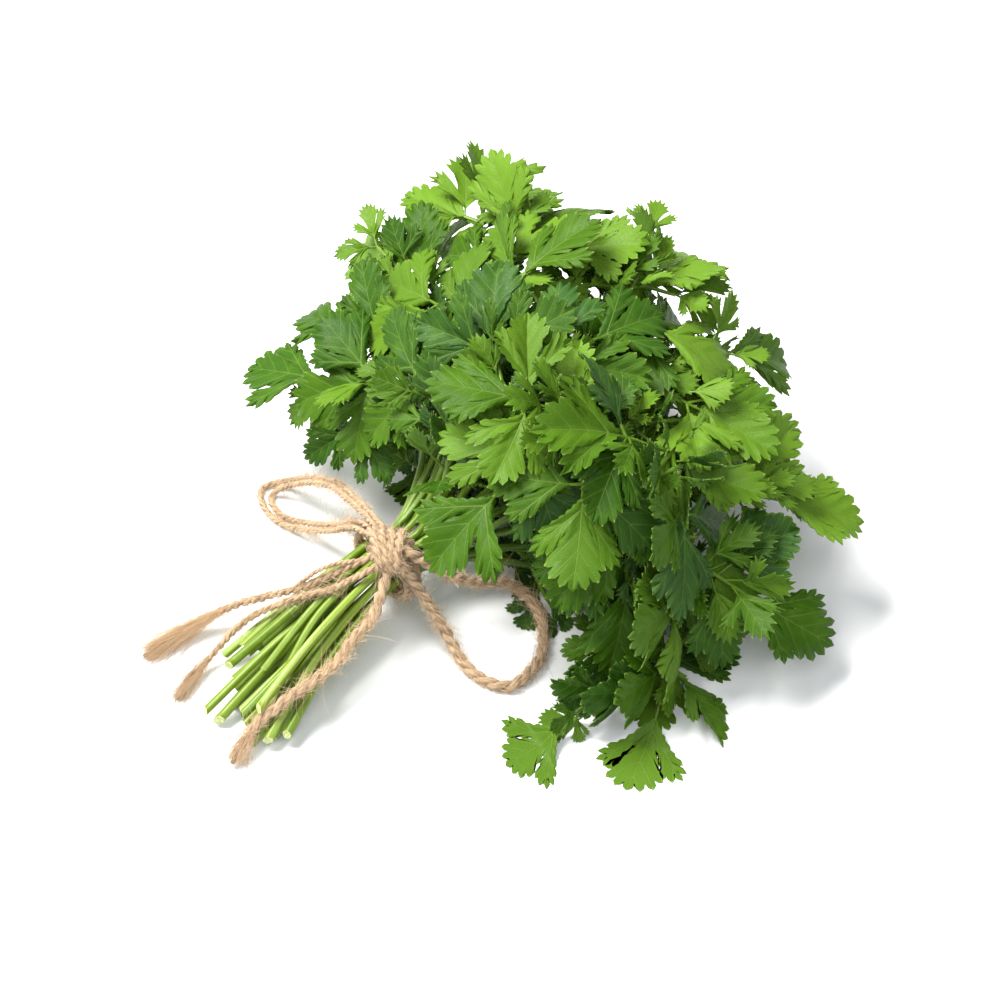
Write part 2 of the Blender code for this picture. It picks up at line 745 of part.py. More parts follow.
def cord_line(diameter, points):
    """A cord's centreline, with its points a few diameters apart."""
    return smooth_route(points, CORD_STEP * diameter)


# Objects, in metres.


def material(name, colour, roughness):
    made = bpy.data.materials.new(name)
    made.use_nodes = True
    shader = made.node_tree.nodes["Principled BSDF"]
    shader.inputs["Base Color"].default_value = colour
    shader.inputs["Roughness"].default_value = roughness
    shader.inputs["Metallic"].default_value = 0.0
    return made


def mesh_object(name, shape, look):
    points, faces = shape
    mesh = bpy.data.meshes.new(name)
    mesh.from_pydata((points * METRES).tolist(), [], faces)
    mesh.materials.append(look)
    made = bpy.data.objects.new(name, mesh)
    bpy.context.scene.collection.objects.link(made)
    return made


def join_into(base, others):
    """Fuses the others into the base with one Boolean union, and removes them."""
    together = bpy.data.collections.new(base.name + "_pieces")
    bpy.context.scene.collection.children.link(together)
    for other in others:
        together.objects.link(other)
        bpy.context.scene.collection.objects.unlink(other)
    union = base.modifiers.new("join", "BOOLEAN")
    union.operation = "UNION"
    union.operand_type = "COLLECTION"
    union.collection = together
    bpy.context.view_layer.update()
    fused = bpy.data.meshes.new_from_object(base.evaluated_get(bpy.context.evaluated_depsgraph_get()))
    base.modifiers.clear()
    base.data = fused
    fused.shade_smooth()
    fused.set_sharp_from_angle(angle=SMOOTH_BELOW)
    for other in others:
        bpy.data.objects.remove(other)
    bpy.data.collections.remove(together)
    return base


def build_leafy_stems(crowd, twine, look):
    """Settles every stem, grows its leaves, and fuses each leafy stem into one solid."""
    draws = [np.random.default_rng((SEED, owner)) for owner in range(len(LEAFY_STEMS))]
    radii = stem_radii()
    lines = settled_stems(draws, twine)
    for owner, line in enumerate(lines):
        shape = tube(line, radii, STEM_SIDES)
        if crowd.meets(owner, shape):
            print("not clear:", LEAFY_STEMS[owner][0])
        crowd.add(owner, "stem", shape)
    made = []
    total = 0
    for owner, stem in enumerate(LEAFY_STEMS):
        stalks, leaves = grow_leaves(crowd, owner, stem, lines[owner], draws[owner])
        total += len(leaves)
        base = mesh_object("leafy_stem_" + stem[0], tube(lines[owner], radii, STEM_SIDES), look)
        pieces = [mesh_object("piece", shape, look) for shape in stalks]
        pieces += [mesh_object("piece", leaflet(leaf), look) for leaf in leaves]
        made.append(join_into(base, pieces))
        faces = sum(len(face.vertices) - 2 for face in base.data.polygons)
        print(stem[0], len(leaves), "leaflets", faces, "triangles")
    print(total, "leaflets on", len(made), "stems")
    return made


def build_tie(look):
    turn, bar = knot_shapes()
    base = mesh_object("twine_tie", band_shape(), look)
    return join_into(base, [mesh_object("piece", turn, look), mesh_object("piece", bar, look)])


def build_cord(name, diameter, points, look):
    """A free length of twine as a curve with a round bevel and filled caps."""
    line = cord_line(diameter, points) * METRES
    curve = bpy.data.curves.new(name, "CURVE")
    curve.dimensions = "3D"
    curve.bevel_depth = diameter / 2 * METRES
    curve.bevel_resolution = 2
    curve.use_fill_caps = True
    spline = curve.splines.new("POLY")
    spline.points.add(len(line) - 1)
    for point, place in zip(spline.points, line):
        point.co = (*place, 1.0)
    curve.materials.append(look)
    made = bpy.data.objects.new(name, curve)
    bpy.context.scene.collection.objects.link(made)
    return made


def stand_on_origin(solids, cords):
    """Moves everything so that the origin is under the middle of the bunch without its free twine."""
    points = np.vstack([np.array([v.co for v in o.data.vertices]) for o in solids])
    low, high = points.min(0), points.max(0)
    shift = np.array([(low[0] + high[0]) / 2, (low[1] + high[1]) / 2, low[2]])
    for made in solids + cords:
        made.location = -shift


def main():
    for old in list(bpy.data.objects):
        bpy.data.objects.remove(old)
    leaf_look = material("herb", LEAF_GREEN, 0.45)
    twine_look = material("jute", TWINE_TAN, 0.9)
    crowd = Crowd()
    crowd.add("tie", "twine", band_shape())
    for shape in knot_shapes():
        crowd.add("tie", "twine", shape)
    twine_points, twine_radii = [], []
    for name, (diameter, points) in CORD_ROUTES.items():
        line = cord_line(diameter, points)
        crowd.add(name, "twine", tube(line, diameter / 2, CORD_SIDES))
        dense = spaced(line, TWINE_SAMPLE)
        twine_points.append(dense)
        twine_radii.append(np.full(len(dense), diameter / 2))
    twine = np.vstack(twine_points), np.concatenate(twine_radii)
    leafy = build_leafy_stems(crowd, twine, leaf_look)
    tie = build_tie(twine_look)
    cords = [build_cord(name, *route, twine_look) for name, route in CORD_ROUTES.items()]
    stand_on_origin(leafy + [tie], cords)


main()
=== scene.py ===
# %% [markdown]
# # A tied bunch of flat-leaved herb, lying on its side
#
# The real thing is about two dozen leafy stems, cut, gathered in the hand and tied with a doubled jute
# twine in a bow. The solid model gives every stem and every length of twine its place. This script
# dresses it: each leafy stem is made again at full detail in the place of its solid, and the smooth
# twine becomes laid, hairy jute. It is read from top to bottom, like a notebook.

# %% Load the solid model
import math

import bpy
import numpy as np
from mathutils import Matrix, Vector
from mathutils.bvhtree import BVHTree


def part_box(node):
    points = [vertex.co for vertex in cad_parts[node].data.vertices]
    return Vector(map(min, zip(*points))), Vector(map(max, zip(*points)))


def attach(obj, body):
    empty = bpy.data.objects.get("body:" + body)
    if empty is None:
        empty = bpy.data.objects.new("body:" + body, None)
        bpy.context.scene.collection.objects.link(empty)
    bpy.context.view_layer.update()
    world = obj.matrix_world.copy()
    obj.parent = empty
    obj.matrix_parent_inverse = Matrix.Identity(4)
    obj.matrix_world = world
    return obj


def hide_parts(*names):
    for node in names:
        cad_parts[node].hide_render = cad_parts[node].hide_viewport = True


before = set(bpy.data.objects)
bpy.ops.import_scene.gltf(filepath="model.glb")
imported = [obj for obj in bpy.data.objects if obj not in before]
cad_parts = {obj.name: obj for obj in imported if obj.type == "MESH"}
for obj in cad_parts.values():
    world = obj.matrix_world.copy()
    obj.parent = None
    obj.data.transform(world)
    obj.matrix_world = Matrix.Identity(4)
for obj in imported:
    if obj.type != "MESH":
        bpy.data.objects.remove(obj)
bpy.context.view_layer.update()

print("solid nodes:", len(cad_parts))

# %% [markdown]
# ## One set of working coordinates
#
# A bunch has no flat faces or round axes to measure from, but it has a tie. So all working sizes here
# are millimetres from the point on the surface right below the middle of the tie, as in the solid
# model, and one function takes them to metres in the frame. The solid tie tells where that point is.

# %% Millimetres from the point below the tie
MM = 0.001
STRAND = 2.4
WRAPS = 4
TIE_HEIGHT = 22.0

tie_low, tie_high = (np.array(corner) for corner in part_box("twine_tie"))
below_tie = np.array([tie_high[0] - WRAPS * STRAND / 2 * MM, (tie_low[1] + tie_high[1]) / 2, 0.0])


def placed(points):
    """Working millimetres to metres in the frame: times 0.001, plus the point below the tie."""
    return np.asarray(points, float) * MM + below_tie


print("the point below the tie is at", np.round(below_tie, 4))

# %% [markdown]
# ## The camera
#
# A bunch on a table is looked down on. The camera stands in front of the tie and a little to the side
# of the cut ends, 48 degrees above the table, with a long lens, so that near leaves aren't swollen.
# It is made first, because the lengths of loose twine must lie where it sees them.

# %% Camera
CAMERA_AZIMUTH = -42.0
CAMERA_ELEVATION = 48.0
CAMERA_DISTANCE = 0.904
CAMERA_LENS = 93.0
CAMERA_SENSOR = 36.0
LOOKED_AT = (47.5, -4.7, 22.0)


def towards_camera(azimuth, elevation):
    """The unit vector (sin a cos e, -cos a cos e, sin e) from the object to the camera."""
    a, e = math.radians(azimuth), math.radians(elevation)
    return np.array([math.sin(a) * math.cos(e), -math.cos(a) * math.cos(e), math.sin(e)])


def look_at_bunch(thing, azimuth, elevation, distance):
    """Puts a camera or a lamp at the place looked at + distance * its unit vector, turned to look back."""
    bpy.context.scene.collection.objects.link(thing)
    back = towards_camera(azimuth, elevation)
    thing.location = placed(LOOKED_AT) + distance * back
    thing.rotation_euler = Vector(-back).to_track_quat("-Z", "Y").to_euler()
    return thing


def make_camera():
    """The scene's camera: 93 mm of lens before 36 mm of sensor sees 0.35 m from 0.9 m away."""
    data = bpy.data.cameras.new("camera")
    data.lens = CAMERA_LENS
    data.sensor_width = CAMERA_SENSOR
    camera = bpy.data.objects.new("camera", data)
    bpy.context.scene.camera = camera
    return look_at_bunch(camera, CAMERA_AZIMUTH, CAMERA_ELEVATION, CAMERA_DISTANCE)


print("camera at", np.round(make_camera().location, 3))

# %% [markdown]
# ## Smooth lines
#
# Twine and stalks are all curves with something carried along them. A Catmull-Rom curve is used, since
# it passes through every point that it is given, so a route can be written as the few places that the
# twine is seen to pass. The curve is then sampled again at even steps, which keeps rings evenly spaced.

# %% Vectors
UP = np.array((0, 0, 1.0))


def unit(vector):
    """A vector divided by its length."""
    return np.asarray(vector, float) / np.linalg.norm(vector)


def unit_rows(rows):
    """Every row of an array divided by its length."""
    return rows / np.linalg.norm(rows, axis=1)[:, None]


def square_to(vector, axis):
    """The part of a vector that is square to a unit axis, at length 1."""
    return unit(vector - np.dot(vector, axis) * axis)


def turned(vector, axis, degrees):
    """A vector v turned about a unit axis k by an angle a: v cos a + (k x v) sin a + k (k.v)(1 - cos a)."""
    angle = math.radians(degrees)
    across = np.cross(axis, vector)
    along = axis * np.dot(axis, vector)
    return vector * math.cos(angle) + across * math.sin(angle) + along * (1 - math.cos(angle))


print("x turned by 90 degrees about z is", turned(np.array((1.0, 0, 0)), UP, 90).round(3))

# %% Curves
SPAN_STEPS = 24
LINE_STEP = 0.5


def line_length(line):
    """The sum of the distances from each point of a line to the next."""
    return np.linalg.norm(np.diff(line, axis=0), axis=1).sum()


def spaced(line, step):
    """The same line with its points about step apart, each read off at an even distance along it."""
    along = np.concatenate([[0], np.cumsum(np.linalg.norm(np.diff(line, axis=0), axis=1))])
    count = max(2, round(along[-1] / step) + 1)
    at = np.linspace(0, along[-1], count)
    return np.stack([np.interp(at, along, line[:, k]) for k in range(3)], axis=1)


def smooth_route(points, step):
    """Points about step apart on a Catmull-Rom curve. From b to c, with a before and d after them, it is
    half of 2 b + (c - a) t + (2 a - 5 b + 4 c - d) t^2 + (3 b - a - 3 c + d) t^3, with t from 0 to 1."""
    points = np.asarray(points, float)
    ends = np.vstack([2 * points[0] - points[1], points, 2 * points[-1] - points[-2]])
    a, b, c, d = (ends[k : k + len(points) - 1, None] for k in range(4))
    t = np.linspace(0, 1, SPAN_STEPS + 1)[1:, None]
    bend = (2 * a - 5 * b + 4 * c - d) * t**2 + (3 * b - a - 3 * c + d) * t**3
    spans = 0.5 * (2 * b + (c - a) * t + bend)
    return spaced(np.vstack([points[:1], spans.reshape(-1, 3)]), step)


arch = smooth_route(((0, 0, 0), (1, 1, 0), (2, 0, 0)), 1)
print("a smooth route through 3 corners:", arch.round(2).tolist())

# %% [markdown]
# ## The routes of the free twine
#
# The bow has a front loop, a back loop of two thin strands side by side, and three tails. Each is a
# free length of jute, so its route and its length are settled here, before anything is made to look
# good. The routes are the solid model's own, in metres: out of the knot, down on to the stems or the
# surface, and in a loop back to the knot. All of each length shows in the view, so nothing is coiled.

# %% Routes, in metres from the point below the tie
ROPE = 4.2
BACK_TAIL = STRAND + 0.8
MIDDLE_TAIL = STRAND + 0.2

# Each free length of twine: its thickness in mm, and its route.
FREE_TWINE = {
    "bow_loop_front": (
        ROPE,
        (
            (0.0016, -0.0144, 0.0352),
            (0.0088, -0.0216, 0.0270),
            (0.0170, -0.0256, 0.0200),
            (0.0270, -0.0274, 0.0140),
            (0.0328, -0.0316, 0.0090),
            (0.0338, -0.0383, 0.0050),
            (0.0306, -0.0455, 0.0028),
            (0.0225, -0.0534, 0.0022),
            (0.0138, -0.0568, 0.0022),
            (0.0048, -0.0564, 0.0022),
            (0.0002, -0.0483, 0.0024),
            (-0.0006, -0.0388, 0.0040),
            (0.0002, -0.0290, 0.0110),
            (-0.0012, -0.0215, 0.0210),
            (-0.0036, -0.0148, 0.0320),
        ),
    ),
    "bow_loop_back_outer": (
        STRAND,
        (
            (0.0010, 0.0044, 0.0366),
            (0.0030, 0.0120, 0.0345),
            (0.0060, 0.0250, 0.0300),
            (0.0090, 0.0385, 0.0240),
            (0.0088, 0.0514, 0.0160),
            (0.0074, 0.0626, 0.0070),
            (0.0048, 0.0690, 0.0022),
            (0.0000, 0.0710, 0.0013),
            (-0.0046, 0.0660, 0.0013),
            (-0.0063, 0.0560, 0.0014),
            (-0.0044, 0.0450, 0.0045),
            (-0.0025, 0.0310, 0.0135),
            (-0.0032, 0.0185, 0.0260),
            (-0.0046, 0.0110, 0.0333),
            (-0.0050, 0.0044, 0.0364),
        ),
    ),
    "bow_loop_back_inner": (
        STRAND,
        (
            (-0.0020, 0.0044, 0.0389),
            (0.0000, 0.0120, 0.0368),
            (0.0030, 0.0250, 0.0316),
            (0.0059, 0.0380, 0.0252),
            (0.0057, 0.0500, 0.0172),
            (0.0044, 0.0600, 0.0084),
            (0.0022, 0.0652, 0.0030),
            (-0.0006, 0.0654, 0.0013),
            (-0.0027, 0.0610, 0.0013),
            (-0.0031, 0.0540, 0.0018),
            (-0.0012, 0.0450, 0.0052),
            (0.0006, 0.0310, 0.0142),
            (-0.0001, 0.0185, 0.0268),
            (-0.0016, 0.0110, 0.0338),
            (-0.0020, 0.0044, 0.0360),
        ),
    ),
    "tail_back": (
        BACK_TAIL,
        (
            (-0.0106, -0.0033, 0.0350),
            (-0.0227, 0.0025, 0.0304),
            (-0.0315, 0.0089, 0.0250),
            (-0.0384, 0.0186, 0.0175),
            (-0.0456, 0.0278, 0.0105),
            (-0.0537, 0.0329, 0.0055),
            (-0.0651, 0.0365, 0.0024),
            (-0.0790, 0.0367, 0.0020),
        ),
    ),
    "tail_middle": (
        MIDDLE_TAIL,
        (
            (-0.0106, -0.0074, 0.0342),
            (-0.0246, -0.0018, 0.0290),
            (-0.0334, 0.0048, 0.0258),
            (-0.0405, 0.0102, 0.0220),
            (-0.0466, 0.0157, 0.0165),
            (-0.0533, 0.0193, 0.0100),
            (-0.0636, 0.0195, 0.0045),
            (-0.0725, 0.0185, 0.0022),
            (-0.0818, 0.0148, 0.0016),
        ),
    ),
    "tail_front": (
        ROPE,
        (
            (-0.0093, -0.0114, 0.0328),
            (-0.0206, -0.0170, 0.0250),
            (-0.0305, -0.0182, 0.0215),
            (-0.0410, -0.0204, 0.0185),
            (-0.0539, -0.0197, 0.0165),
            (-0.0650, -0.0176, 0.0125),
            (-0.0735, -0.0164, 0.0075),
            (-0.0847, -0.0193, 0.0024),
        ),
    ),
}
ROUTES = {name: np.array(points) / MM for name, (_, points) in FREE_TWINE.items()}
THICKNESS = {name: diameter for name, (diameter, _) in FREE_TWINE.items()}

# %% [markdown]
# ## Where the stems lie
#
# Stems can't pass through each other, yet all of them go through one tie. They could be laid by hand or
# dropped by a simulation. Here each stem gets a simple first line, from its cut end through its seat in
# the tie to its fork, and then all lines are pushed off each other a little at a time until they are
# clear. That is quick, gives the same result each run, and repeats what the solid model did, step for
# step, so every fine stem and leaf comes where its solid is.

# %% What the solid model fixes
SEED = 7
SEATS_IN_ROW = (4, 5, 6, 5, 4)
SEAT_PITCH = 3.75
ROW_PITCH = 3.25
TIE_REACH = 9.0
CUT_END_REACH = (48.0, 80.0)
CUT_END_SPREAD = 2.2
CUT_END_SHIFT = -4.0
CUT_END_LOWEST = 1.75
CUT_END_ROW = 2.2
CUT_RADIUS = 1.7
TIE_RADIUS = 1.55
FORK_RADIUS = 1.15
TIP_RADIUS = 0.75
SIDE_STALK_RADIUS = 0.8
SIDE_STALK_TAPER = (1.0, 0.8)
LEAF_STALK_RADIUS = 0.62
BENDS_BELOW = 3
BENDS_TO_FORK = 7
BENDS_PAST_FORK = 3
STEM_SIDES = 4
FORK = BENDS_BELOW + BENDS_TO_FORK - 1
SECOND_PAIR = FORK + 2
LAST_LEAF = FORK + BENDS_PAST_FORK
TIE_FLARE = (0.02, 0.03)
FORK_PULL = 0.9
LOWEST_RUN = 2.0
LAST_LEAF_AT = 0.56
ARCH = 0.10

# One leafy stem a line: row and seat in the tie, the fork where its first side stalks leave, the tip of
# its end leaflet, the roll of its blade in degrees, its size, and how yellow its leaves are, from 0,
# deep bluish green, to 1, bright yellow-green. That tone is partly the leaves' own colour and partly
# painted light and shade: higher for stems on top, where light comes through from behind, and lower for
# those down in the bunch's shade. The last three are told apart by their columns.
ROLL, SIZE, TONE = 5, 6, 7
LEAFY_STEMS = (
    ("front_over_tie", 4, 0, (52, -44, 88), (-3, -30, 50), 0, 0.95, 0.31),
    ("front_shoulder", 3, 0, (72, -62, 76), (22, -74, 50), -8, 0.95, 0.24),
    ("crown_near", 4, 1, (30, 0, 68), (72, 40, 84), 0, 0.9, 0.24),
    ("crown_middle", 2, 3, (40, -14, 80), (98, -24, 92), 8, 0.9, 0.20),
    ("crown_far", 4, 2, (56, 18, 84), (118, 60, 76), 0, 0.95, 0.40),
    ("top_back", 3, 3, (76, 40, 76), (132, 94, 60), 0, 1.0, 0.45),
    ("top_far", 4, 3, (72, 10, 90), (140, 40, 72), 0, 0.95, 0.44),
    ("far_middle", 3, 2, (84, -8, 86), (152, 4, 62), 0, 0.95, 0.46),
    ("far_front", 2, 2, (84, -30, 78), (150, -42, 50), 0, 0.95, 0.55),
    ("right_high", 3, 1, (70, -42, 72), (128, -68, 44), 0, 0.9, 0.60),
    ("right_low", 2, 1, (70, -58, 56), (120, -104, 34), 0, 0.95, 0.68),
    ("back_shoulder", 3, 4, (62, 36, 70), (72, 98, 50), 0, 0.9, 0.27),
    ("back_left", 2, 4, (44, 28, 62), (38, 90, 42), 0, 0.9, 0.30),
    ("beside_tie_back", 2, 5, (36, 30, 52), (14, 86, 34), 0, 0.9, 0.36),
    ("front_high", 2, 0, (56, -58, 60), (30, -86, 26), 0, 0.85, 0.20),
    ("front_low", 1, 0, (66, -76, 20), (10, -116, -18), 0, 0.95, 0.36),
    ("front_corner", 1, 1, (56, -64, 46), (84, -126, 14), 0, 0.95, 0.22),
    ("front_floor", 0, 1, (54, -88, 14), (-26, -80, -10), 0, 0.95, 0.34),
    ("beside_tie_front", 0, 0, (42, -24, 12), (34, -52, -2), 0, 0.65, 0.24),
    ("inner_front", 1, 2, (56, -22, 38), (118, -46, 26), 0, 0.9, 0.26),
    ("inner_far", 1, 3, (56, 6, 44), (124, 16, 34), 0, 0.9, 0.24),
    ("back_floor", 1, 4, (46, 30, 26), (96, 78, -12), 0, 0.9, 0.34),
    ("far_floor", 0, 2, (66, -4, 14), (138, -10, -14), 0, 0.9, 0.22),
    ("back_low", 0, 3, (54, 14, 20), (112, 48, 3), 0, 0.9, 0.26),
)

print(len(LEAFY_STEMS), "leafy stems")

# %% The first line of each stem


def seat_place(row, seat):
    """Where a stem passes the tie: (across, up)."""
    across = (seat - (SEATS_IN_ROW[row] - 1) / 2) * SEAT_PITCH
    up = (row - (len(SEATS_IN_ROW) - 1) / 2) * ROW_PITCH
    return across, up


def hermite(start, leave, end, arrive, t):
    """The cubic curve from start to end that leaves and arrives with these tangents."""
    return (
        (2 * t**3 - 3 * t**2 + 1) * start
        + (t**3 - 2 * t**2 + t) * leave
        + (-2 * t**3 + 3 * t**2) * end
        + (t**3 - t**2) * arrive
    )


def on_surface(points, lowest):
    """The points, with those that are lower than the given height raised to it."""
    points[:, 2] = np.maximum(points[:, 2], lowest)
    return points


def stem_route(stem, reach):
    """The bends of a stem's line: its cut end, up through the tie, on to its fork, and past that
    on an arch towards its tip."""
    _, row, seat, fork, tip, _, _, _ = stem
    across, up = seat_place(row, seat)
    cut = np.array([-reach, CUT_END_SHIFT + CUT_END_SPREAD * across, CUT_END_LOWEST + CUT_END_ROW * row])
    tie = np.array([0.0, across, TIE_HEIGHT + up])
    into_tie = tie - (TIE_REACH, 0, 0)
    out_of_tie = tie + (TIE_REACH, 0, 0)
    fork, tip = np.array(fork, float), np.array(tip, float)
    ahead = tip - fork
    lift = np.array([0, 0, 4 * ARCH * np.linalg.norm(ahead)])
    fall = np.linalg.norm(into_tie - cut)
    t = np.linspace(0, 1, BENDS_BELOW)[:, None]
    below = hermite(cut, into_tie - cut, into_tie, np.array([fall, 0, 0]), t)
    span = np.linalg.norm(fork - out_of_tie)
    leave = np.array([1.0, TIE_FLARE[0] * across, TIE_FLARE[1] * up]) * span
    t = np.linspace(0, 1, BENDS_TO_FORK)[:, None]
    above = hermite(out_of_tie, leave, fork, unit(ahead + lift) * span * FORK_PULL, t)
    share = np.linspace(0, LAST_LEAF_AT, BENDS_PAST_FORK + 1)[1:, None]
    past = fork + ahead * share + lift * share * (1 - share)
    line = np.vstack([below, above, past])
    return on_surface(line, LOWEST_RUN)


def stem_radii():
    """The stem's radius at each of its bends."""
    at = (0, BENDS_BELOW, FORK, LAST_LEAF)
    return np.interp(np.arange(LAST_LEAF + 1), at, (CUT_RADIUS, TIE_RADIUS, FORK_RADIUS, TIP_RADIUS))


print("the first stem would start at", stem_route(LEAFY_STEMS[0], CUT_END_REACH[0])[0])

# %% Leaning the stems apart
ROOM = 0.45
FLOOR_GAP = 0.25
SAMPLES_PER_BEND = 7
LEAN_ROUNDS = 400
ROUNDS_PER_SEARCH = 8
SEARCH_REACH = 6.0
CLEAR_ENOUGH = 0.12
PUSH_GAIN = 1.6
LONGEST_PUSH = 1.5
TWINE_SAMPLE = 3.0
CORD_STEP = 2.8


def sampling(bends_in_line, samples):
    """The matrix that takes a line's bends to evenly spread samples on its straight runs."""
    at = np.linspace(0, bends_in_line - 1, (bends_in_line - 1) * samples + 1)
    return np.stack([np.interp(at, np.arange(bends_in_line), row) for row in np.eye(bends_in_line)], axis=1)


def lean_apart(lines, radii, pinned, twine):
    """Pushes stems off each other, off the twine and off the surface, a little at a time, until
    their round sides are clear. The pinned bends stay where they are."""
    spread = sampling(lines.shape[1], SAMPLES_PER_BEND)
    gather = spread.T / spread.sum(0)[:, None]
    thick = np.tile(spread @ radii, len(lines))
    stem = np.repeat(np.arange(len(lines)), len(spread))
    twine_points, twine_radii = twine
    for step in range(LEAN_ROUNDS):
        points = (spread @ lines).reshape(-1, 3)
        if step % ROUNDS_PER_SEARCH == 0:
            lengths = (points**2).sum(1)
            squares = lengths[:, None] + lengths - 2 * points @ points.T
            near = squares < (thick[:, None] + thick + SEARCH_REACH) ** 2
            first, second = np.nonzero(near & (stem[:, None] < stem))
            to_twine = ((points[:, None] - twine_points) ** 2).sum(2)
            beside, by_twine = np.nonzero(to_twine < (thick[:, None] + twine_radii + SEARCH_REACH) ** 2)
        push = np.zeros_like(points)
        away = points[first] - points[second]
        gaps = np.linalg.norm(away, axis=1)
        deep = np.maximum(thick[first] + thick[second] + ROOM - gaps, 0)
        move = away * (deep / gaps / 2)[:, None]
        np.add.at(push, first, move)
        np.add.at(push, second, -move)
        away = points[beside] - twine_points[by_twine]
        gaps = np.linalg.norm(away, axis=1)
        over = np.maximum(thick[beside] + twine_radii[by_twine] + ROOM - gaps, 0)
        np.add.at(push, beside, away * (over / gaps)[:, None])
        push[:, 2] += np.maximum(thick + FLOOR_GAP - points[:, 2], 0)
        worst = max(deep.max(), over.max())
        if worst < CLEAR_ENOUGH:
            break
        # Each bend's move is mixed with its neighbours', so that no stem gets a kink.
        moves = (gather @ push.reshape(len(lines), -1, 3)) * PUSH_GAIN
        moves[:, pinned] = 0
        moves[:, 1:-1] = 0.25 * moves[:, :-2] + 0.5 * moves[:, 1:-1] + 0.25 * moves[:, 2:]
        moves[:, pinned] = 0
        lines = lines + np.clip(moves, -LONGEST_PUSH, LONGEST_PUSH)
    print("stems overlap their room by", round(float(worst), 3), "mm after", step, "rounds")
    return lines


def settled_stems(draws):
    """Every stem's line, leaning clear of the others and of the free twine."""
    twine = [spaced(smooth_route(ROUTES[n], CORD_STEP * THICKNESS[n]), TWINE_SAMPLE) for n in ROUTES]
    radii = [np.full(len(line), THICKNESS[n] / 2) for n, line in zip(ROUTES, twine)]
    lines = [stem_route(stem, draw.uniform(*CUT_END_REACH)) for stem, draw in zip(LEAFY_STEMS, draws)]
    pinned = np.zeros(LAST_LEAF + 1, bool)
    pinned[BENDS_BELOW - 1 : BENDS_BELOW + 1] = True
    return lean_apart(np.array(lines), stem_radii(), pinned, (np.vstack(twine), np.concatenate(radii)))


draws = [np.random.default_rng((SEED, owner)) for owner in range(len(LEAFY_STEMS))]
stem_lines = settled_stems(draws)

# %% [markdown]
# ## Where the leaflets go
#
# A compound leaf forks in threes: an end leaflet, and pairs of side stalks that carry three leaflets
# each. Leaves push past each other as they open, so each leaflet here is tried straight first and then
# bent more and more until it is clear of the others, with a plain six-pointed outline as its stand-in.
# These steps too are the solid model's own. The stand-in is used only for testing, and isn't shown.

# %% A stand-in tube for a stem or a stalk


def tube(line, radii, sides):
    """A closed tube along a line, as (points, faces), with a flat cap at each end: a circle of
    the given radius carried along, its first spoke kept as straight as it can be."""
    line = np.asarray(line, float)
    radii = np.broadcast_to(radii, len(line))
    tangents = unit_rows(np.gradient(line, axis=0))
    across = square_to(np.array([0.13, 0.31, 1.0]), tangents[0])
    angles = 2 * np.pi * np.arange(sides) / sides
    rings = []
    for point, tangent, radius in zip(line, tangents, radii):
        across = square_to(across, tangent)
        other = np.cross(tangent, across)
        rings.append(point + radius * (np.outer(np.cos(angles), across) + np.outer(np.sin(angles), other)))
    faces = [
        (r * sides + i, r * sides + (i + 1) % sides, (r + 1) * sides + (i + 1) % sides, (r + 1) * sides + i)
        for r in range(len(line) - 1)
        for i in range(sides)
    ]
    last = (len(line) - 1) * sides
    faces.append(tuple(range(sides - 1, -1, -1)))
    faces.append(tuple(range(last, last + sides)))
    return np.vstack(rings), faces


print("a stem's stand-in has", len(tube(stem_lines[0], stem_radii(), STEM_SIDES)[0]), "points")

# %% How a leaflet bends, and its plain outline
COARSE_OUTLINE = ((0.46, 0.34), (0.50, 0.64), (0.155, 0.43), (0.275, 0.74))
LOBE_POINT = 1


def blade_height(x, y, form):
    """How far a point of a unit leaflet stands off its flat plane: folded up from the midrib,
    turned down at the sides and the tip, and twisted along its length."""
    fold, turn, droop, twist = form
    return fold * np.abs(x) - turn * x * x - droop * y * y + twist * x * (y - 0.3)


def to_world(local, base, axes, length):
    """Points of a unit leaflet in its place: base + length * (x across + y along + z up)."""
    return base + length * (local @ axes)


def leaf_outline(breadth):
    """The outline points of a unit leaflet, from its base round by its right, and which of them
    are the points of its three lobes."""
    right = np.array(COARSE_OUTLINE)
    outline = np.vstack([right, [[0, 1]], right[::-1] * (-1, 1)]) * (breadth, 1)
    count = len(right)
    return outline, {LOBE_POINT, count, 2 * count - LOBE_POINT}


print("the plain outline has", len(leaf_outline(1.0)[0]), "points")

# %% The stand-in leaflet
BLADE = 0.8
LEAF_HEART = (0.0, 0.30)

# A leaflet is described by where its blade starts (base) and where its stalk does (root), the three rows
# of its axes (across, along, up), its length in mm, its breadth, its form (fold, turn, droop, twist),
# and whether it is laid on the surface.
FLAT_LEAF = {
    "base": np.array((0, 0, 50.0)),
    "axes": np.eye(3),
    "length": 30.0,
    "form": (0.0, 0.0, 0.0, 0.0),
    "breadth": 1.0,
    "root": np.array((0, -5.0, 50.0)),
    "laid": False,
}


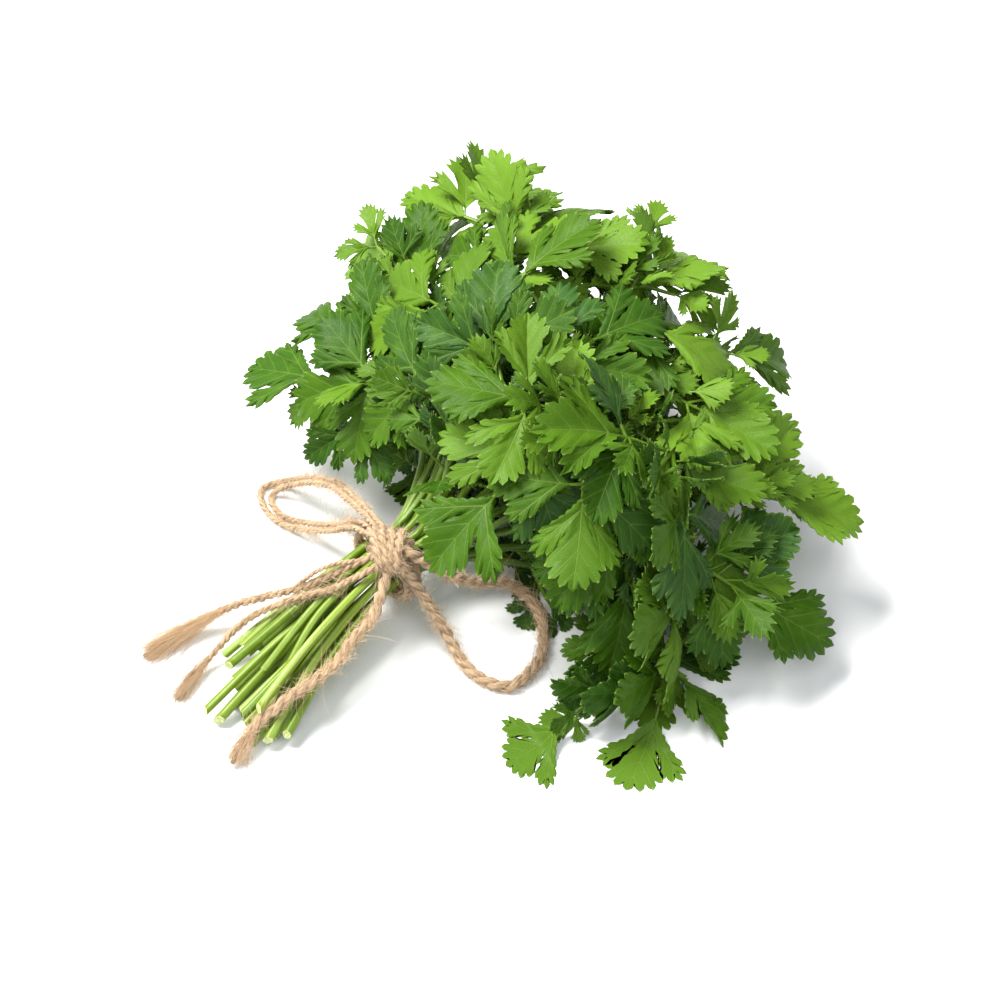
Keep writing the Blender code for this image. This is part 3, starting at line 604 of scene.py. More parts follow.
def leaflet(leaf, extra=0.0, stalked=True):
    """The stand-in as (points, faces): the blade fanned from its heart on both faces, its lobes
    drawn out to points, and a three-sided stalk. With extra it is that much larger all round."""
    outline, pointed = leaf_outline(leaf["breadth"])
    outline = LEAF_HEART + (outline - LEAF_HEART) * (1 + 2 * extra / leaf["length"])
    half_stalk = LEAF_STALK_RADIUS / leaf["length"]
    base = np.array([[-half_stalk, 0], [half_stalk, 0]])
    flat = np.vstack([[LEAF_HEART], base, outline])
    height = blade_height(flat[:, 0], flat[:, 1], leaf["form"])
    middle = to_world(np.column_stack([flat, height]), leaf["base"], leaf["axes"], leaf["length"])
    offset = leaf["axes"][2] * (BLADE / 2 + extra)
    faces_up = offset[2] >= 0
    top = on_surface(middle + offset, BLADE + extra if faces_up else 0.0)
    under = on_surface(middle - offset, 0.0 if faces_up else BLADE + extra)
    for i in pointed:
        top[3 + i] = (top[3 + i] + under[3 + i]) / 2
    keel = (under[1] + under[2]) / 2
    root = leaf["root"] - leaf["base"]
    points = [*top, under[0], keel, *(p + root for p in (top[1], top[2], keel))]
    heart, left, right, rim = 0, 1, 2, list(range(3, len(top)))
    under_heart = len(top)
    keel_at, root_left, root_right, root_keel = range(under_heart + 1, under_heart + 5)
    below = []
    for i, at in enumerate(rim):
        if i in pointed:
            below.append(at)
        else:
            below.append(len(points))
            points.append(under[at])
    around = [right, *rim, left]
    around_below = [keel_at, *below, keel_at]
    faces = [(heart, left, right)]
    for i in range(len(around) - 1):
        a, b = around[i], around[i + 1]
        c, d = around_below[i], around_below[i + 1]
        faces.append((heart, a, b))
        faces.append((under_heart, d, c))
        if a != c:
            faces.append((a, c, d))
        if b != d:
            faces.append((a, d, b))
    if not stalked:
        return np.array(points), faces + [(keel_at, right, left)]
    faces += [(right, root_right, root_keel), (right, root_keel, keel_at)]
    faces += [(keel_at, root_keel, root_left), (keel_at, root_left, left)]
    faces += [(left, root_left, root_right), (left, root_right, right)]
    faces.append((root_keel, root_right, root_left))
    return np.array(points), faces


print("a stand-in leaflet has", len(leaflet(FLAT_LEAF)[1]), "faces")

# %% Leaflets that meet the surface
TOUCHING = 0.5
DEEPEST_LAY = 4.0
LEAST_LEVEL = 0.6
STEEPEST_FALL = 0.7
LAID_DIP = 0.2
LAID_BEND = 0.3


def lies_badly(leaf):
    """Whether a leaflet would be pushed far through the surface, or stand on edge in it."""
    outline, _ = leaf_outline(leaf["breadth"])
    height = blade_height(outline[:, 0], outline[:, 1], leaf["form"])
    world = to_world(np.column_stack([outline, height]), leaf["base"], leaf["axes"], leaf["length"])
    lowest = world[:, 2].min()
    too_deep = lowest < -DEEPEST_LAY and not leaf["laid"]
    on_edge = lowest < TOUCHING and abs(leaf["axes"][2][2]) < LEAST_LEVEL
    return leaf["base"][2] < BLADE + LEAF_STALK_RADIUS or too_deep or on_edge


def laid_down(leaf):
    """The same leaflet where it would dip into the surface: it comes down from its base until its
    heart is on the surface, and lies flat from there."""
    along = leaf["axes"][1]
    if leaf["base"][2] + along[2] * leaf["length"] > TOUCHING:
        return leaf
    fall = min((leaf["base"][2] + LAID_DIP) / (LEAF_HEART[1] * leaf["length"]), STEEPEST_FALL)
    level = unit(along * (1, 1, 0))
    along = level * math.sqrt(1 - fall**2) - np.array([0, 0, fall])
    up = square_to(UP, along)
    form = tuple(LAID_BEND * bend for bend in leaf["form"])
    return {**leaf, "axes": np.array([np.cross(along, up), along, up]), "form": form, "laid": True}


print("a flat leaflet 50 mm up lies badly:", lies_badly(FLAT_LEAF))

# %% What is in the way


class Crowd:
    """What is already in place, so that the next piece can be bent clear of it."""

    def __init__(self):
        """Starts empty: a search tree, an owner, a kind and the two corners of a box for each piece."""
        self.trees = []
        self.owners = []
        self.kinds = []
        self.lows = np.empty((0, 3))
        self.highs = np.empty((0, 3))

    def add(self, owner, kind, shape):
        """Puts a shape, as (points, faces), in its place among the others."""
        points, faces = shape
        self.trees.append(BVHTree.FromPolygons(points.tolist(), faces))
        self.owners.append(owner)
        self.kinds.append(kind)
        self.lows = np.vstack([self.lows, points.min(0)])
        self.highs = np.vstack([self.highs, points.max(0)])

    def meets(self, owner, shape, own_blades=False):
        """Whether a shape crosses a piece of another owner, or else a blade of its own. Only pieces whose
        boxes overlap its box are tested."""
        points, faces = shape
        near = np.flatnonzero((self.lows <= points.max(0)).all(1) & (self.highs >= points.min(0)).all(1))
        if own_blades:
            others = [i for i in near if self.owners[i] == owner and self.kinds[i] == "blade"]
        else:
            others = [i for i in near if self.owners[i] != owner and self.kinds[i] != "blade"]
        if not others:
            return False
        tree = BVHTree.FromPolygons(points.tolist(), faces)
        return any(tree.overlap(self.trees[i]) for i in others)


def node_shape(name):
    """A solid node's own triangles, as (points, faces) in working millimetres. A node's object is at the
    origin, so its mesh already holds its place."""
    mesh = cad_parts[name].data
    points = np.empty(3 * len(mesh.vertices), np.float32)
    mesh.vertices.foreach_get("co", points)
    corners = np.empty(len(mesh.loops), np.int32)
    mesh.loops.foreach_get("vertex_index", corners)
    return (points.reshape(-1, 3).astype(float) - below_tie) / MM, corners.reshape(-1, 3).tolist()


crowd = Crowd()
for name in ("twine_tie", *FREE_TWINE):
    crowd.add("twine", "twine", node_shape(name))
for owner, line in enumerate(stem_lines):
    crowd.add(owner, "stem", tube(line, stem_radii(), STEM_SIDES))
print(len(crowd.trees), "shapes to keep clear of")

# %% How far a stalk or a leaflet may be bent


def bends(pitches, yaws, rolls):
    """Every mix of these turns in degrees, the gentlest first, by |pitch| + 0.8 |yaw| + 0.6 |roll|."""
    mixes = [(p, y, r) for p in pitches for y in yaws for r in rolls]
    return sorted(mixes, key=lambda turn: abs(turn[0]) + 0.8 * abs(turn[1]) + 0.6 * abs(turn[2]))


LEAF_BENDS = bends((0, -14, 14, -28, 28, -44, 44), (0, 16, -16, 32, -32), (0, 22, -22))
STALK_BENDS = bends((0, -12, 12, -25, 25, -38), (0, 14, -14, 28, -28), (0,))
SHORTER = (1.0, 0.84, 0.7)
BLADE_BENDS = ((0.05, 0.32), (0.1, 0.5), (0.02, 0.3), (-0.25, 0.25))
BREADTHS = (0.92, 1.08)
DROOPS = (-6, 14)
SWINGS = (-6, 6)
TILTS = (-12, 12)
STALK_SWINGS = (-8, 8)
STALK_GAP = 0.8
STALK_RISE = 4.0
print(len(LEAF_BENDS), "ways to bend a leaflet,", len(STALK_BENDS), "ways to bend a side stalk")

# %% Trying a leaflet


def leaf_axes(along, outward, bend):
    """A leaflet's axes (across, along, up) after it is pitched, swung and rolled."""
    pitch, yaw, roll = bend
    up = square_to(outward, along)
    along = turned(along, up, yaw)
    across = np.cross(along, up)
    along = turned(along, across, pitch)
    up = np.cross(across, along)
    up = turned(up, along, roll)
    return np.array([np.cross(along, up), along, up])


def place_leaf(owner, root, along, outward, length, stalk, draw, sizes=SHORTER, turns=LEAF_BENDS):
    """Grows a leaflet on its short stalk, bent until it is clear. None if it has no room."""
    form = tuple(draw.uniform(*between) for between in BLADE_BENDS)
    breadth = draw.uniform(*BREADTHS)
    droop = draw.uniform(*DROOPS)
    swing = draw.uniform(*SWINGS)
    tilt = draw.uniform(*TILTS)
    for scale in sizes:
        for pitch, yaw, roll in turns:
            axes = leaf_axes(along, outward, (pitch - droop, yaw + swing, roll + tilt))
            base = root + stalk * scale * unit(along + axes[1])
            leaf = {
                "base": base,
                "axes": axes,
                "length": length * scale,
                "form": form,
                "breadth": breadth,
                "root": root,
                "laid": False,
            }
            leaf = laid_down(leaf)
            if lies_badly(leaf) or crowd.meets(owner, leaflet(leaf, ROOM)):
                continue
            if crowd.meets(owner, leaflet(leaf, ROOM, stalked=False), own_blades=True):
                continue
            crowd.add(owner, "blade", leaflet(leaf, stalked=False))
            crowd.add(owner, "leaflet", leaflet(leaf))
            return leaf
    return None


rolled = leaf_axes(np.array((1.0, 0, 0)), UP, (0, 0, 22))
print("a leaflet along x, rolled by 22 degrees, faces", rolled[2].round(2))

# %% Trying a side stalk


def side_stalk(root, end, extra=0.0):
    """A straight side stalk, that much larger with extra."""
    radii = np.array(SIDE_STALK_TAPER) * SIDE_STALK_RADIUS + extra
    return tube((root, end), radii, STEM_SIDES)


def grow_stalk(owner, root, along, outward, length):
    """A side stalk bent until it is clear, as (root, end, along, outward). None if it has no room."""
    for pitch, yaw, _ in STALK_BENDS:
        _, way, up = leaf_axes(along, outward, (pitch - STALK_RISE, yaw, 0))
        end = root + way * length
        if min(root[2], end[2]) < SIDE_STALK_RADIUS + STALK_GAP:
            continue
        if not crowd.meets(owner, side_stalk(root, end, ROOM)):
            crowd.add(owner, "stalk", side_stalk(root, end))
            return root, end, way, up
    return None


print("a side stalk's stand-in has", len(side_stalk(np.zeros(3), UP)[0]), "points")

# %% Growing every leafy stem
SIDE_STALK = 22.0
SIDE_STALK_ANGLE = 52.0
LEAFLET_ANGLE = 64.0
END_LEAFLET = 34.0
STALK_LEAFLET = 32.3
SIDE_LEAFLET = 28.5
PAIR_LEAFLET = 29.0
END_STALK = 5.0
PAIR_STALK = 6.5
DOME_CENTRE = (62.0, -12.0, 14.0)


def stem_frame(stem, line, bend):
    """(along, sideways, outward) where a stem's line bends. Outward is away from the middle of the bunch,
    turned about the stem by the roll that the stem's row gives."""
    ahead = min(bend + 1, len(line) - 1)
    along = unit(line[ahead] - line[bend - 1])
    outward = turned(square_to(line[bend] - np.array(DOME_CENTRE), along), along, stem[ROLL])
    return along, np.cross(along, outward), outward


def grow_leaves(owner, stem, line, draw):
    """Every side stalk and leaflet of a leafy stem: (side stalks, leaflets)."""
    size = stem[SIZE]
    stalks, leaves = [], []

    def leaf(root, along, outward, length, stalk):
        """Keeps a leaflet of this stem's size, if there is room for it."""
        found = place_leaf(owner, root, along, outward, length * size, stalk * size, draw)
        if found is not None:
            leaves.append(found)

    def way_off(along, sideways, angle, side):
        """The way at an angle to the stalk, cos a along + side sin a sideways, with a few degrees drawn."""
        angle = math.radians(angle + draw.uniform(*STALK_SWINGS))
        return math.cos(angle) * along + side * math.sin(angle) * sideways

    along, sideways, outward = stem_frame(stem, line, LAST_LEAF)
    leaf(line[LAST_LEAF], along, outward, END_LEAFLET, END_STALK)
    along, sideways, outward = stem_frame(stem, line, FORK)
    for side in (1, -1):
        way = way_off(along, sideways, SIDE_STALK_ANGLE, side)
        found = grow_stalk(owner, line[FORK], way, outward, SIDE_STALK * size)
        if found is None:
            continue
        _, end, way, up = found
        stalks.append(found)
        leaf(end, way, up, STALK_LEAFLET, END_STALK)
        for turn in (1, -1):
            leaf(end, way_off(way, np.cross(way, up), LEAFLET_ANGLE, turn), up, SIDE_LEAFLET, END_STALK)
    along, sideways, outward = stem_frame(stem, line, SECOND_PAIR)
    for side in (1, -1):
        way = way_off(along, sideways, SIDE_STALK_ANGLE, side)
        leaf(line[SECOND_PAIR], way, outward, PAIR_LEAFLET, PAIR_STALK)
    return stalks, leaves


grown = [
    grow_leaves(owner, stem, stem_lines[owner], draws[owner]) for owner, stem in enumerate(LEAFY_STEMS)
]
print(sum(len(leaves) for _, leaves in grown), "leaflets,", sum(len(s) for s, _ in grown), "side stalks")

# %% The first stand-in leaflets against the solid model
for (name, *_), (_, leaves) in zip(LEAFY_STEMS[:3], grown):
    solid_points, _ = node_shape("leafy_stem_" + name)
    hearts = np.vstack([leaflet(leaf)[0][:1] for leaf in leaves])
    gaps = np.linalg.norm(hearts[:, None] - solid_points, axis=2).min(1)
    print(name, "hearts lie within", round(float(gaps.max()), 3), "mm of the solid's")

# %% [markdown]
# ## Young leaflets in the gaps
#
# A real bunch also has young leaflets, half the size of the others and turned all ways, that fill the
# gaps between them. The solid model leaves them out. They are grown here after all the others, on the
# same stems and side stalks, so that they can't push any of those out of place, and only where there is
# room for them.

# %% Growing young leaflets
YOUNG_AT = np.arange(FORK - 2.6, LAST_LEAF, 0.21)
YOUNG_ON_STALK = (0.2, 0.45, 0.7, 0.95)
YOUNG_LENGTH = (11.0, 21.0)
YOUNG_STALK = (3.0, 9.0)
YOUNG_ANGLE = (25, 80)
YOUNG_ROLL = (-25, 205)
YOUNG_SIZES = (1.0, 0.75)
YOUNG_FACING_SPREAD = 0.5
YOUNG_BENDS = LEAF_BENDS[:26]


def off_stem(frame_there, draw):
    """A way that leaves a stem at an angle, rolled about it towards one side or outwards."""
    along, sideways, outward = frame_there
    angle, roll = np.radians(draw.uniform(*YOUNG_ANGLE)), np.radians(draw.uniform(*YOUNG_ROLL))
    return np.cos(angle) * along + np.sin(angle) * (np.cos(roll) * sideways + np.sin(roll) * outward)


def young_spots(stem, line, stalks):
    """Where young leaflets may start, and the axes there: all along the leafy part of a stem, and at
    four places on each side stalk."""
    spots = []
    for at in YOUNG_AT:
        bend = int(at)
        root = line[bend] + (at - bend) * (line[bend + 1] - line[bend])
        spots.append((root, stem_frame(stem, line, bend)))
    for root, end, way, up in stalks:
        for share in YOUNG_ON_STALK:
            spots.append((root + share * (end - root), (way, np.cross(way, up), up)))
    return spots


def grow_young(owner, stem, line, stalks):
    """A young leaflet at each of a stem's spots that has room for one."""
    draw = np.random.default_rng((SEED, owner, 2))
    found = []
    for root, there in young_spots(stem, line, stalks):
        way = off_stem(there, draw)
        outward = unit(there[2] + draw.normal(0, YOUNG_FACING_SPREAD, 3))
        length, stalk = draw.uniform(*YOUNG_LENGTH), draw.uniform(*YOUNG_STALK)
        leaf = place_leaf(owner, root, way, outward, length, stalk, draw, YOUNG_SIZES, YOUNG_BENDS)
        if leaf is not None:
            found.append(leaf)
    return found


young = [
    grow_young(owner, stem, stem_lines[owner], grown[owner][0]) for owner, stem in enumerate(LEAFY_STEMS)
]
print(sum(len(leaves) for leaves in young), "young leaflets")

# %% [markdown]
# ## Sprigs that stand out
#
# Here and there a young side shoot has grown out past the others, and breaks the bunch's round outline.
# Each is a side stalk with two to four leaflets at its end. A rule would put them anywhere, so these few
# are listed, each as a stalk from a bend of a stem's line to a place in the open.

# %% Growing the sprigs
SPRIG_STALK = 3.0
SPRIG_SIZES = (1.0, 0.85)
SPRIG_BENDS = LEAF_BENDS[:60]
SPRIG_FACING = np.array((-0.2, -0.5, 0.85))
SPRIG_FACING_SPREAD = 0.25

# Each sprig: its stem, the bend of the stem that it leaves, where its stalk ends, and the direction and
# the length of each leaflet there.
SPRIGS = (
    (
        "top_back",
        11,
        (96, 68, 77),
        (((17, 16, 7), 23), ((3, 11, 4), 16), ((19, -12, 4), 17), ((-12, 8, 0), 14)),
    ),
    (
        "far_middle",
        11,
        (123, 3, 94),
        (((-16, 27, -3), 24), ((5, 16, 5), 18), ((12, -10, -1), 17), ((10, 9, 4), 15)),
    ),
    ("back_shoulder", 12, (70, 86, 66), (((4, 12, 8), 15), ((-8, 6, 0), 13))),
    ("back_left", 11, (36, 62, 58), (((-6, 12, -4), 15), ((-12, 2, -2), 14))),
    (
        "far_middle",
        11,
        (118, -16, 84),
        (((14, -4, 2), 18), ((6, -14, -2), 17), ((10, 8, 4), 15), ((-2, -12, 4), 14)),
    ),
    ("far_middle", 11, (112, 14, 67), (((5, -8, 2), 18), ((-8, -4, 0), 18), ((6, 8, 0), 16))),
    ("right_high", 11, (104, -36, 52), (((8, -8, -2), 17), ((-6, 8, 0), 16), ((8, 8, -2), 16))),
    ("right_low", 10, (86, -74, 40), (((6, -8, -6), 16), ((10, 2, -8), 15), ((-4, -10, -6), 14))),
)


def grow_sprig(owner, end, leaflets):
    """The leaflets at the end of a sprig's stalk that have room. They face up and a little to the front."""
    draw = np.random.default_rng((SEED, owner, 3))
    found = []
    for way, length in leaflets:
        facing = unit(SPRIG_FACING + draw.normal(0, SPRIG_FACING_SPREAD, 3))
        leaf = place_leaf(owner, end, unit(way), facing, length, SPRIG_STALK, draw, SPRIG_SIZES, SPRIG_BENDS)
        if leaf is not None:
            found.append(leaf)
    return found


names = [stem[0] for stem in LEAFY_STEMS]
sprigs = [[] for _ in LEAFY_STEMS]
for name, bend, end, leaflets in SPRIGS:
    owner = names.index(name)
    root, end = stem_lines[owner][bend], np.array(end)
    sprigs[owner].append((root, end, unit(end - root), UP))
    young[owner] += grow_sprig(owner, end, leaflets)
print(len(SPRIGS), "sprigs, and", sum(len(leaves) for leaves in young), "young leaflets with theirs")

# %% [markdown]
# ## Surfaces made as arrays
#
# Stems, stalks and strands are all a profile carried along a line, and a leaflet is a flat grid that is
# bent. Both are worked out as whole arrays: a shape here is its points, its faces as rows of corner
# numbers, and any values that its material needs at each point. Shapes are stacked, and then written
# into one mesh.

# %% A shape, and a stack of shapes
# A shape is a dictionary. Its faces and its looks, the number of each face's material, are kept apart by
# how many corners a face has. Any other entry holds three numbers for each point.
SHARP_FROM = 60


def stacked(shapes):
    """Several shapes as one: points one after another, with each face's corner numbers moved up by
    the points before it, and its values side by side."""
    starts = np.cumsum([0] + [len(s["points"]) for s in shapes])
    sizes = sorted({width for s in shapes for width in s["faces"]})
    whole = {
        "points": np.vstack([s["points"] for s in shapes]),
        "faces": {
            w: np.vstack([s["faces"][w] + start for s, start in zip(shapes, starts) if w in s["faces"]])
            for w in sizes
        },
        "looks": {
            w: np.concatenate([s["looks"][w] for s in shapes if w in s["faces"]]) for w in sizes
        },
    }
    for value in [key for key in shapes[0] if key not in whole]:
        whole[value] = np.vstack([s[value] for s in shapes])
    return whole


def new_piece(name, shape, materials):
    """A mesh object at the origin from a shape, which rides on the bunch."""
    mesh = bpy.data.meshes.new(name)
    faces = [face for rows in shape["faces"].values() for face in rows.tolist()]
    mesh.from_pydata(placed(shape["points"]).tolist(), [], faces)
    looks = np.concatenate(list(shape["looks"].values()))
    mesh.polygons.foreach_set("material_index", looks.astype(np.int32))
    for made in materials:
        mesh.materials.append(made)
    mesh.shade_smooth()
    mesh.set_sharp_from_angle(angle=math.radians(SHARP_FROM))
    for value in [key for key in shape if key not in ("points", "faces", "looks")]:
        stored = mesh.attributes.new(value, "FLOAT_VECTOR", "POINT")
        stored.data.foreach_set("vector", shape[value].astype(np.float32).ravel())
    piece = bpy.data.objects.new(name, mesh)
    bpy.context.scene.collection.objects.link(piece)
    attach(piece, "root")
    return piece


square = {"points": np.eye(4, 3), "faces": {4: np.arange(4)[None]}, "looks": {4: np.zeros(1)}}
print("two squares stacked have the corners", stacked([square, square])["faces"][4].tolist())

# %% A line's own axes, and a sweep along it


def line_axes(line):
    """(side, up) at each point of a line: side is square to the line and to the direction in which the
    whole line is thinnest, and up is square to both."""
    tangents = unit_rows(np.gradient(line, axis=0))
    thinnest = np.linalg.svd(line - line.mean(0))[2][-1]
    side = unit_rows(np.cross(tangents, thinnest))
    return side, np.cross(side, tangents)


def carried(line, radii, centre=0.0):
    """A closed round sweep. Point (i, j) is line_i + centre_i + radius_ij * (cos a_j side + sin a_j up),
    where a_j goes once round. Both ends are closed with a fan round a middle point."""
    side, up = line_axes(line)
    rings, sides = radii.shape
    angle = 2 * np.pi * np.arange(sides) / sides
    spokes = np.cos(angle)[:, None] * side[:, None] + np.sin(angle)[:, None] * up[:, None]
    middle = line + centre
    points = (middle[:, None] + radii[..., None] * spokes).reshape(-1, 3)
    ring, step = np.meshgrid(np.arange(rings - 1), np.arange(sides), indexing="ij")
    here = ring * sides + step
    beside = ring * sides + (step + 1) % sides
    quads = np.stack([here, here + sides, beside + sides, beside], axis=-1).reshape(-1, 4)
    first, last = rings * sides, rings * sides + 1
    around = np.arange(sides)
    onward = (around + 1) % sides
    top = (rings - 1) * sides
    caps = np.vstack(
        [
            np.stack([np.full(sides, first), around, onward], axis=1),
            np.stack([np.full(sides, last), top + onward, top + around], axis=1),
        ]
    )
    return np.vstack([points, middle[:1], middle[-1:]]), quads, caps


straight = np.array(((0, 0, 0), (1.0, 0, 0), (2.0, 0, 0)))
print("a sweep of 3 rings of 8 has", len(carried(straight, np.ones((3, 8)))[0]), "points")

# %% [markdown]
# ## Stems and stalks
#
# A stem of this herb is ribbed lengthwise and a little glossy, thickest at its pale cut end. A plain
# round tube would look like wire, so the ring of each stem has five low ribs that wander round it along
# the stem. The line is the settled one, smoothed, since stems don't kink.

# %% A ribbed stem
STEM_AROUND = 16
STEM_STEP = 3.0
RIBS = 5
RIB_HEIGHT = 0.085
RIB_WANDER = 30

# A dressed stem has three materials, and each of its faces is one of these.
BLADE_LOOK = 0
STALK_LOOK = 1
CUT_LOOK = 2


def ribbed_stem(line, radii, step, around, tone, cut):
    """A stem with the radius r(s) * (1 + h cos(5 a + s / 30)), s in mm along it, a round it. For the
    material each point carries s, its rib's height from -1 to 1, and the stem's tone."""
    curve = smooth_route(line, step)
    along = np.linspace(0, line_length(curve), len(curve))
    thick = np.interp(np.linspace(0, 1, len(curve)), np.linspace(0, 1, len(radii)), radii)
    angle = 2 * np.pi * np.arange(around) / around
    rib = np.cos(RIBS * angle + along[:, None] / RIB_WANDER)
    points, quads, caps = carried(curve, thick[:, None] * (1 + RIB_HEIGHT * rib))
    ends = np.array([[along[0]], [along[-1]]])
    run = np.vstack([np.repeat(along, around)[:, None], ends])
    ribs = np.concatenate([rib.ravel(), [0, 0]])[:, None]
    values = np.full((len(points), 1), tone)
    cap_looks = np.full(len(caps), STALK_LOOK)
    cap_looks[:around] = CUT_LOOK if cut else STALK_LOOK
    return {
        "points": points,
        "faces": {3: caps, 4: quads},
        "looks": {3: cap_looks, 4: np.full(len(quads), STALK_LOOK)},
        "veins": np.hstack([run, ribs, values]),
        "tone": np.hstack([values, 0 * values, values]),
    }


thin_stem = ribbed_stem(straight, np.ones(2), 1.0, STEM_AROUND, 0.5, cut=True)
print("its ribs reach to", thin_stem["veins"][:, 1].max().round(2), "of their height")

# %% The stem itself
CUT_SLOPE = (-0.7, 0.7)
SLENDER = (0.82, 1.03)


def whole_stem(line, tone, draw):
    """The stem itself, from its cut end to where its last leaflet starts. The cut is a slanting one: its
    ring is moved along the stem by r * (a cos w + b sin w), w round it."""
    radii = stem_radii() * draw.uniform(*SLENDER)
    shape = ribbed_stem(line, radii, STEM_STEP, STEM_AROUND, tone, cut=True)
    ring = shape["points"][:STEM_AROUND] - shape["points"][:STEM_AROUND].mean(0)
    slope = draw.uniform(*CUT_SLOPE, 2)
    shape["points"][:STEM_AROUND] += ring[:, 1:] @ slope[:, None] * unit(line[1] - line[0])
    return shape


print("a stem has", len(whole_stem(stem_lines[0], 0.3, draws[0])["points"]), "points")

# %% A side stalk and a leaf stalk
STALK_AROUND = 8
STALK_STEP = 1.6
STALK_STEPS = 7
STALK_RUN = 100


def bowed(start, leave, end, arrive, steps=STALK_STEPS):
    """A stalk's line: the cubic curve from start to end, leaving and arriving in the given directions."""
    t = np.linspace(0, 1, steps)[:, None]
    reach = np.linalg.norm(end - start)
    return hermite(start, unit(leave) * reach, end, unit(arrive) * reach, t)


def stalk_shape(line, thick, thin, tone):
    """A tapered stalk. Its run counts on from 100 mm, so that it is as green as a stem's far end."""
    shape = ribbed_stem(line, np.array([thick, thin]), STALK_STEP, STALK_AROUND, tone, cut=False)
    shape["veins"][:, 0] += STALK_RUN
    return shape


sample_stalk = bowed(np.zeros(3), UP, np.array((10.0, 0, 10.0)), np.array((1.0, 0, 0)))
print("a stalk has", len(stalk_shape(sample_stalk, 1.0, 0.5, 0.3)["points"]), "points")

# %% [markdown]
# ## One leaflet, drawn flat
#
# The leaflets are wedges at the base, cut deeply into three lobes, and each lobe has rounded teeth with
# pale tips. A side vein runs to each tooth. An outline filled with triangles would have no veins to
# follow, so the flat leaflet is woven on its veins: one walk goes from the base up the midrib to its
# heart, out along the side rib, back, and on up the midrib to the tip, and each step of it is joined
# across to the leaf's edge. The rungs that end in a tooth are its side veins.

# %% The edge of the right half of a unit leaflet
HEART = 0.12
SIDE_TIP = (0.568, 0.622)

# Each point is across, up, and 1 where it is a tooth. The four runs face the four stretches of the walk:
# up to the heart, out along the side rib, back, and on to the tip.
EDGE = (
    ((0.012, 0.0, 0), (0.05, 0.055, 0), (0.11, 0.125, 0), (0.18, 0.195, 0)),
    (
        (0.265, 0.258, 0),
        (0.362, 0.318, 0),
        (0.474, 0.388, 1),
        (0.402, 0.424, 0),
        (0.562, 0.490, 1),
        (0.448, 0.508, 0),
        (*SIDE_TIP, 1),
    ),
    (
        (0.436, 0.566, 0),
        (0.476, 0.696, 1),
        (0.366, 0.590, 0),
        (0.366, 0.690, 1),
        (0.278, 0.540, 0),
        (0.192, 0.420, 0),
        (0.115, 0.305, 0),
    ),
    (
        (0.140, 0.415, 0),
        (0.205, 0.580, 0),
        (0.312, 0.740, 1),
        (0.220, 0.742, 0),
        (0.256, 0.878, 1),
        (0.146, 0.828, 0),
        (0.136, 0.962, 1),
        (0.058, 0.880, 0),
        (0.0, 1.0, 1),
    ),
)
RUNG_LEAN = 1.2
ROUNDNESS = 0.18
RIB_TAPER = 2.5

edge = np.array([point for run in EDGE for point in run])
print(len(edge), "points on half the edge,", int(edge[:, 2].sum()), "of them teeth")

# %% The walk along the midrib and the side rib


def rib_walk():
    """Where each rung leaves the ribs. Along a rib of n rungs the k-th leaves at (k / n) ** 1.2 of it, so
    that side veins lean forward."""
    heart, tip, side_tip = np.array([0, HEART]), np.array([0, 1.0]), np.array(SIDE_TIP)
    up = np.linspace(0, 1, len(EDGE[0]))[:, None] * heart
    out = (np.arange(1, len(EDGE[1]) + 1) / len(EDGE[1]))[:, None] ** RUNG_LEAN
    there = heart + (side_tip - heart) * out
    back = there[-2::-1]
    on = (np.arange(1, len(EDGE[3]) + 1) / len(EDGE[3]))[:, None] ** RUNG_LEAN
    return np.vstack([up, there, back, [heart], heart + (tip - heart) * on])


print("rungs:", len(rib_walk()))

# %% The woven leaflet
LOBE_RUNGS = (1, 5, 14, 18)
LOBE_SHARES = (0, 1, 1, 0)


def half_leaflet(per_rung, rows):
    """The right half of the flat unit leaflet, as rungs by rows. Point (u, v) is
    rib(u) + v * (edge(u) - rib(u)), and between two rungs the edge swells by 0.18 sin(pi u) of its step.
    Each has x, y, its cushion 4 v (1 - v) between teeth, its nearness to a tooth's tip, v, and how much
    it is part of the side lobe."""
    ribs = rib_walk()
    count = (len(ribs) - 1) * per_rung + 1
    at = np.linspace(0, len(ribs) - 1, count)
    whole = np.arange(len(ribs))
    rib = np.stack([np.interp(at, whole, ribs[:, k]) for k in (0, 1)], axis=1)
    rim = np.stack([np.interp(at, whole, edge[:, k]) for k in (0, 1)], axis=1)
    step = np.diff(edge[:, :2], axis=0)[np.minimum(at.astype(int), len(ribs) - 2)]
    rim += (ROUNDNESS * np.sin(np.pi * (at % 1)))[:, None] * np.stack([step[:, 1], -step[:, 0]], axis=1)
    side_lobe = np.interp(at, LOBE_RUNGS, LOBE_SHARES)
    tooth = np.interp(at, whole, edge[:, 2])
    v = np.linspace(0, 1, rows)
    flat = rib[:, None] + v[:, None] * (rim - rib)[:, None]
    puff = (1 - tooth)[:, None] * 4 * v * (1 - v)
    point_at_tip = tooth[:, None] ** 2 * v**3
    more = np.stack([puff, point_at_tip, 0 * puff + v, 0 * puff + side_lobe[:, None]], axis=2)
    return np.concatenate([flat, more], axis=2)


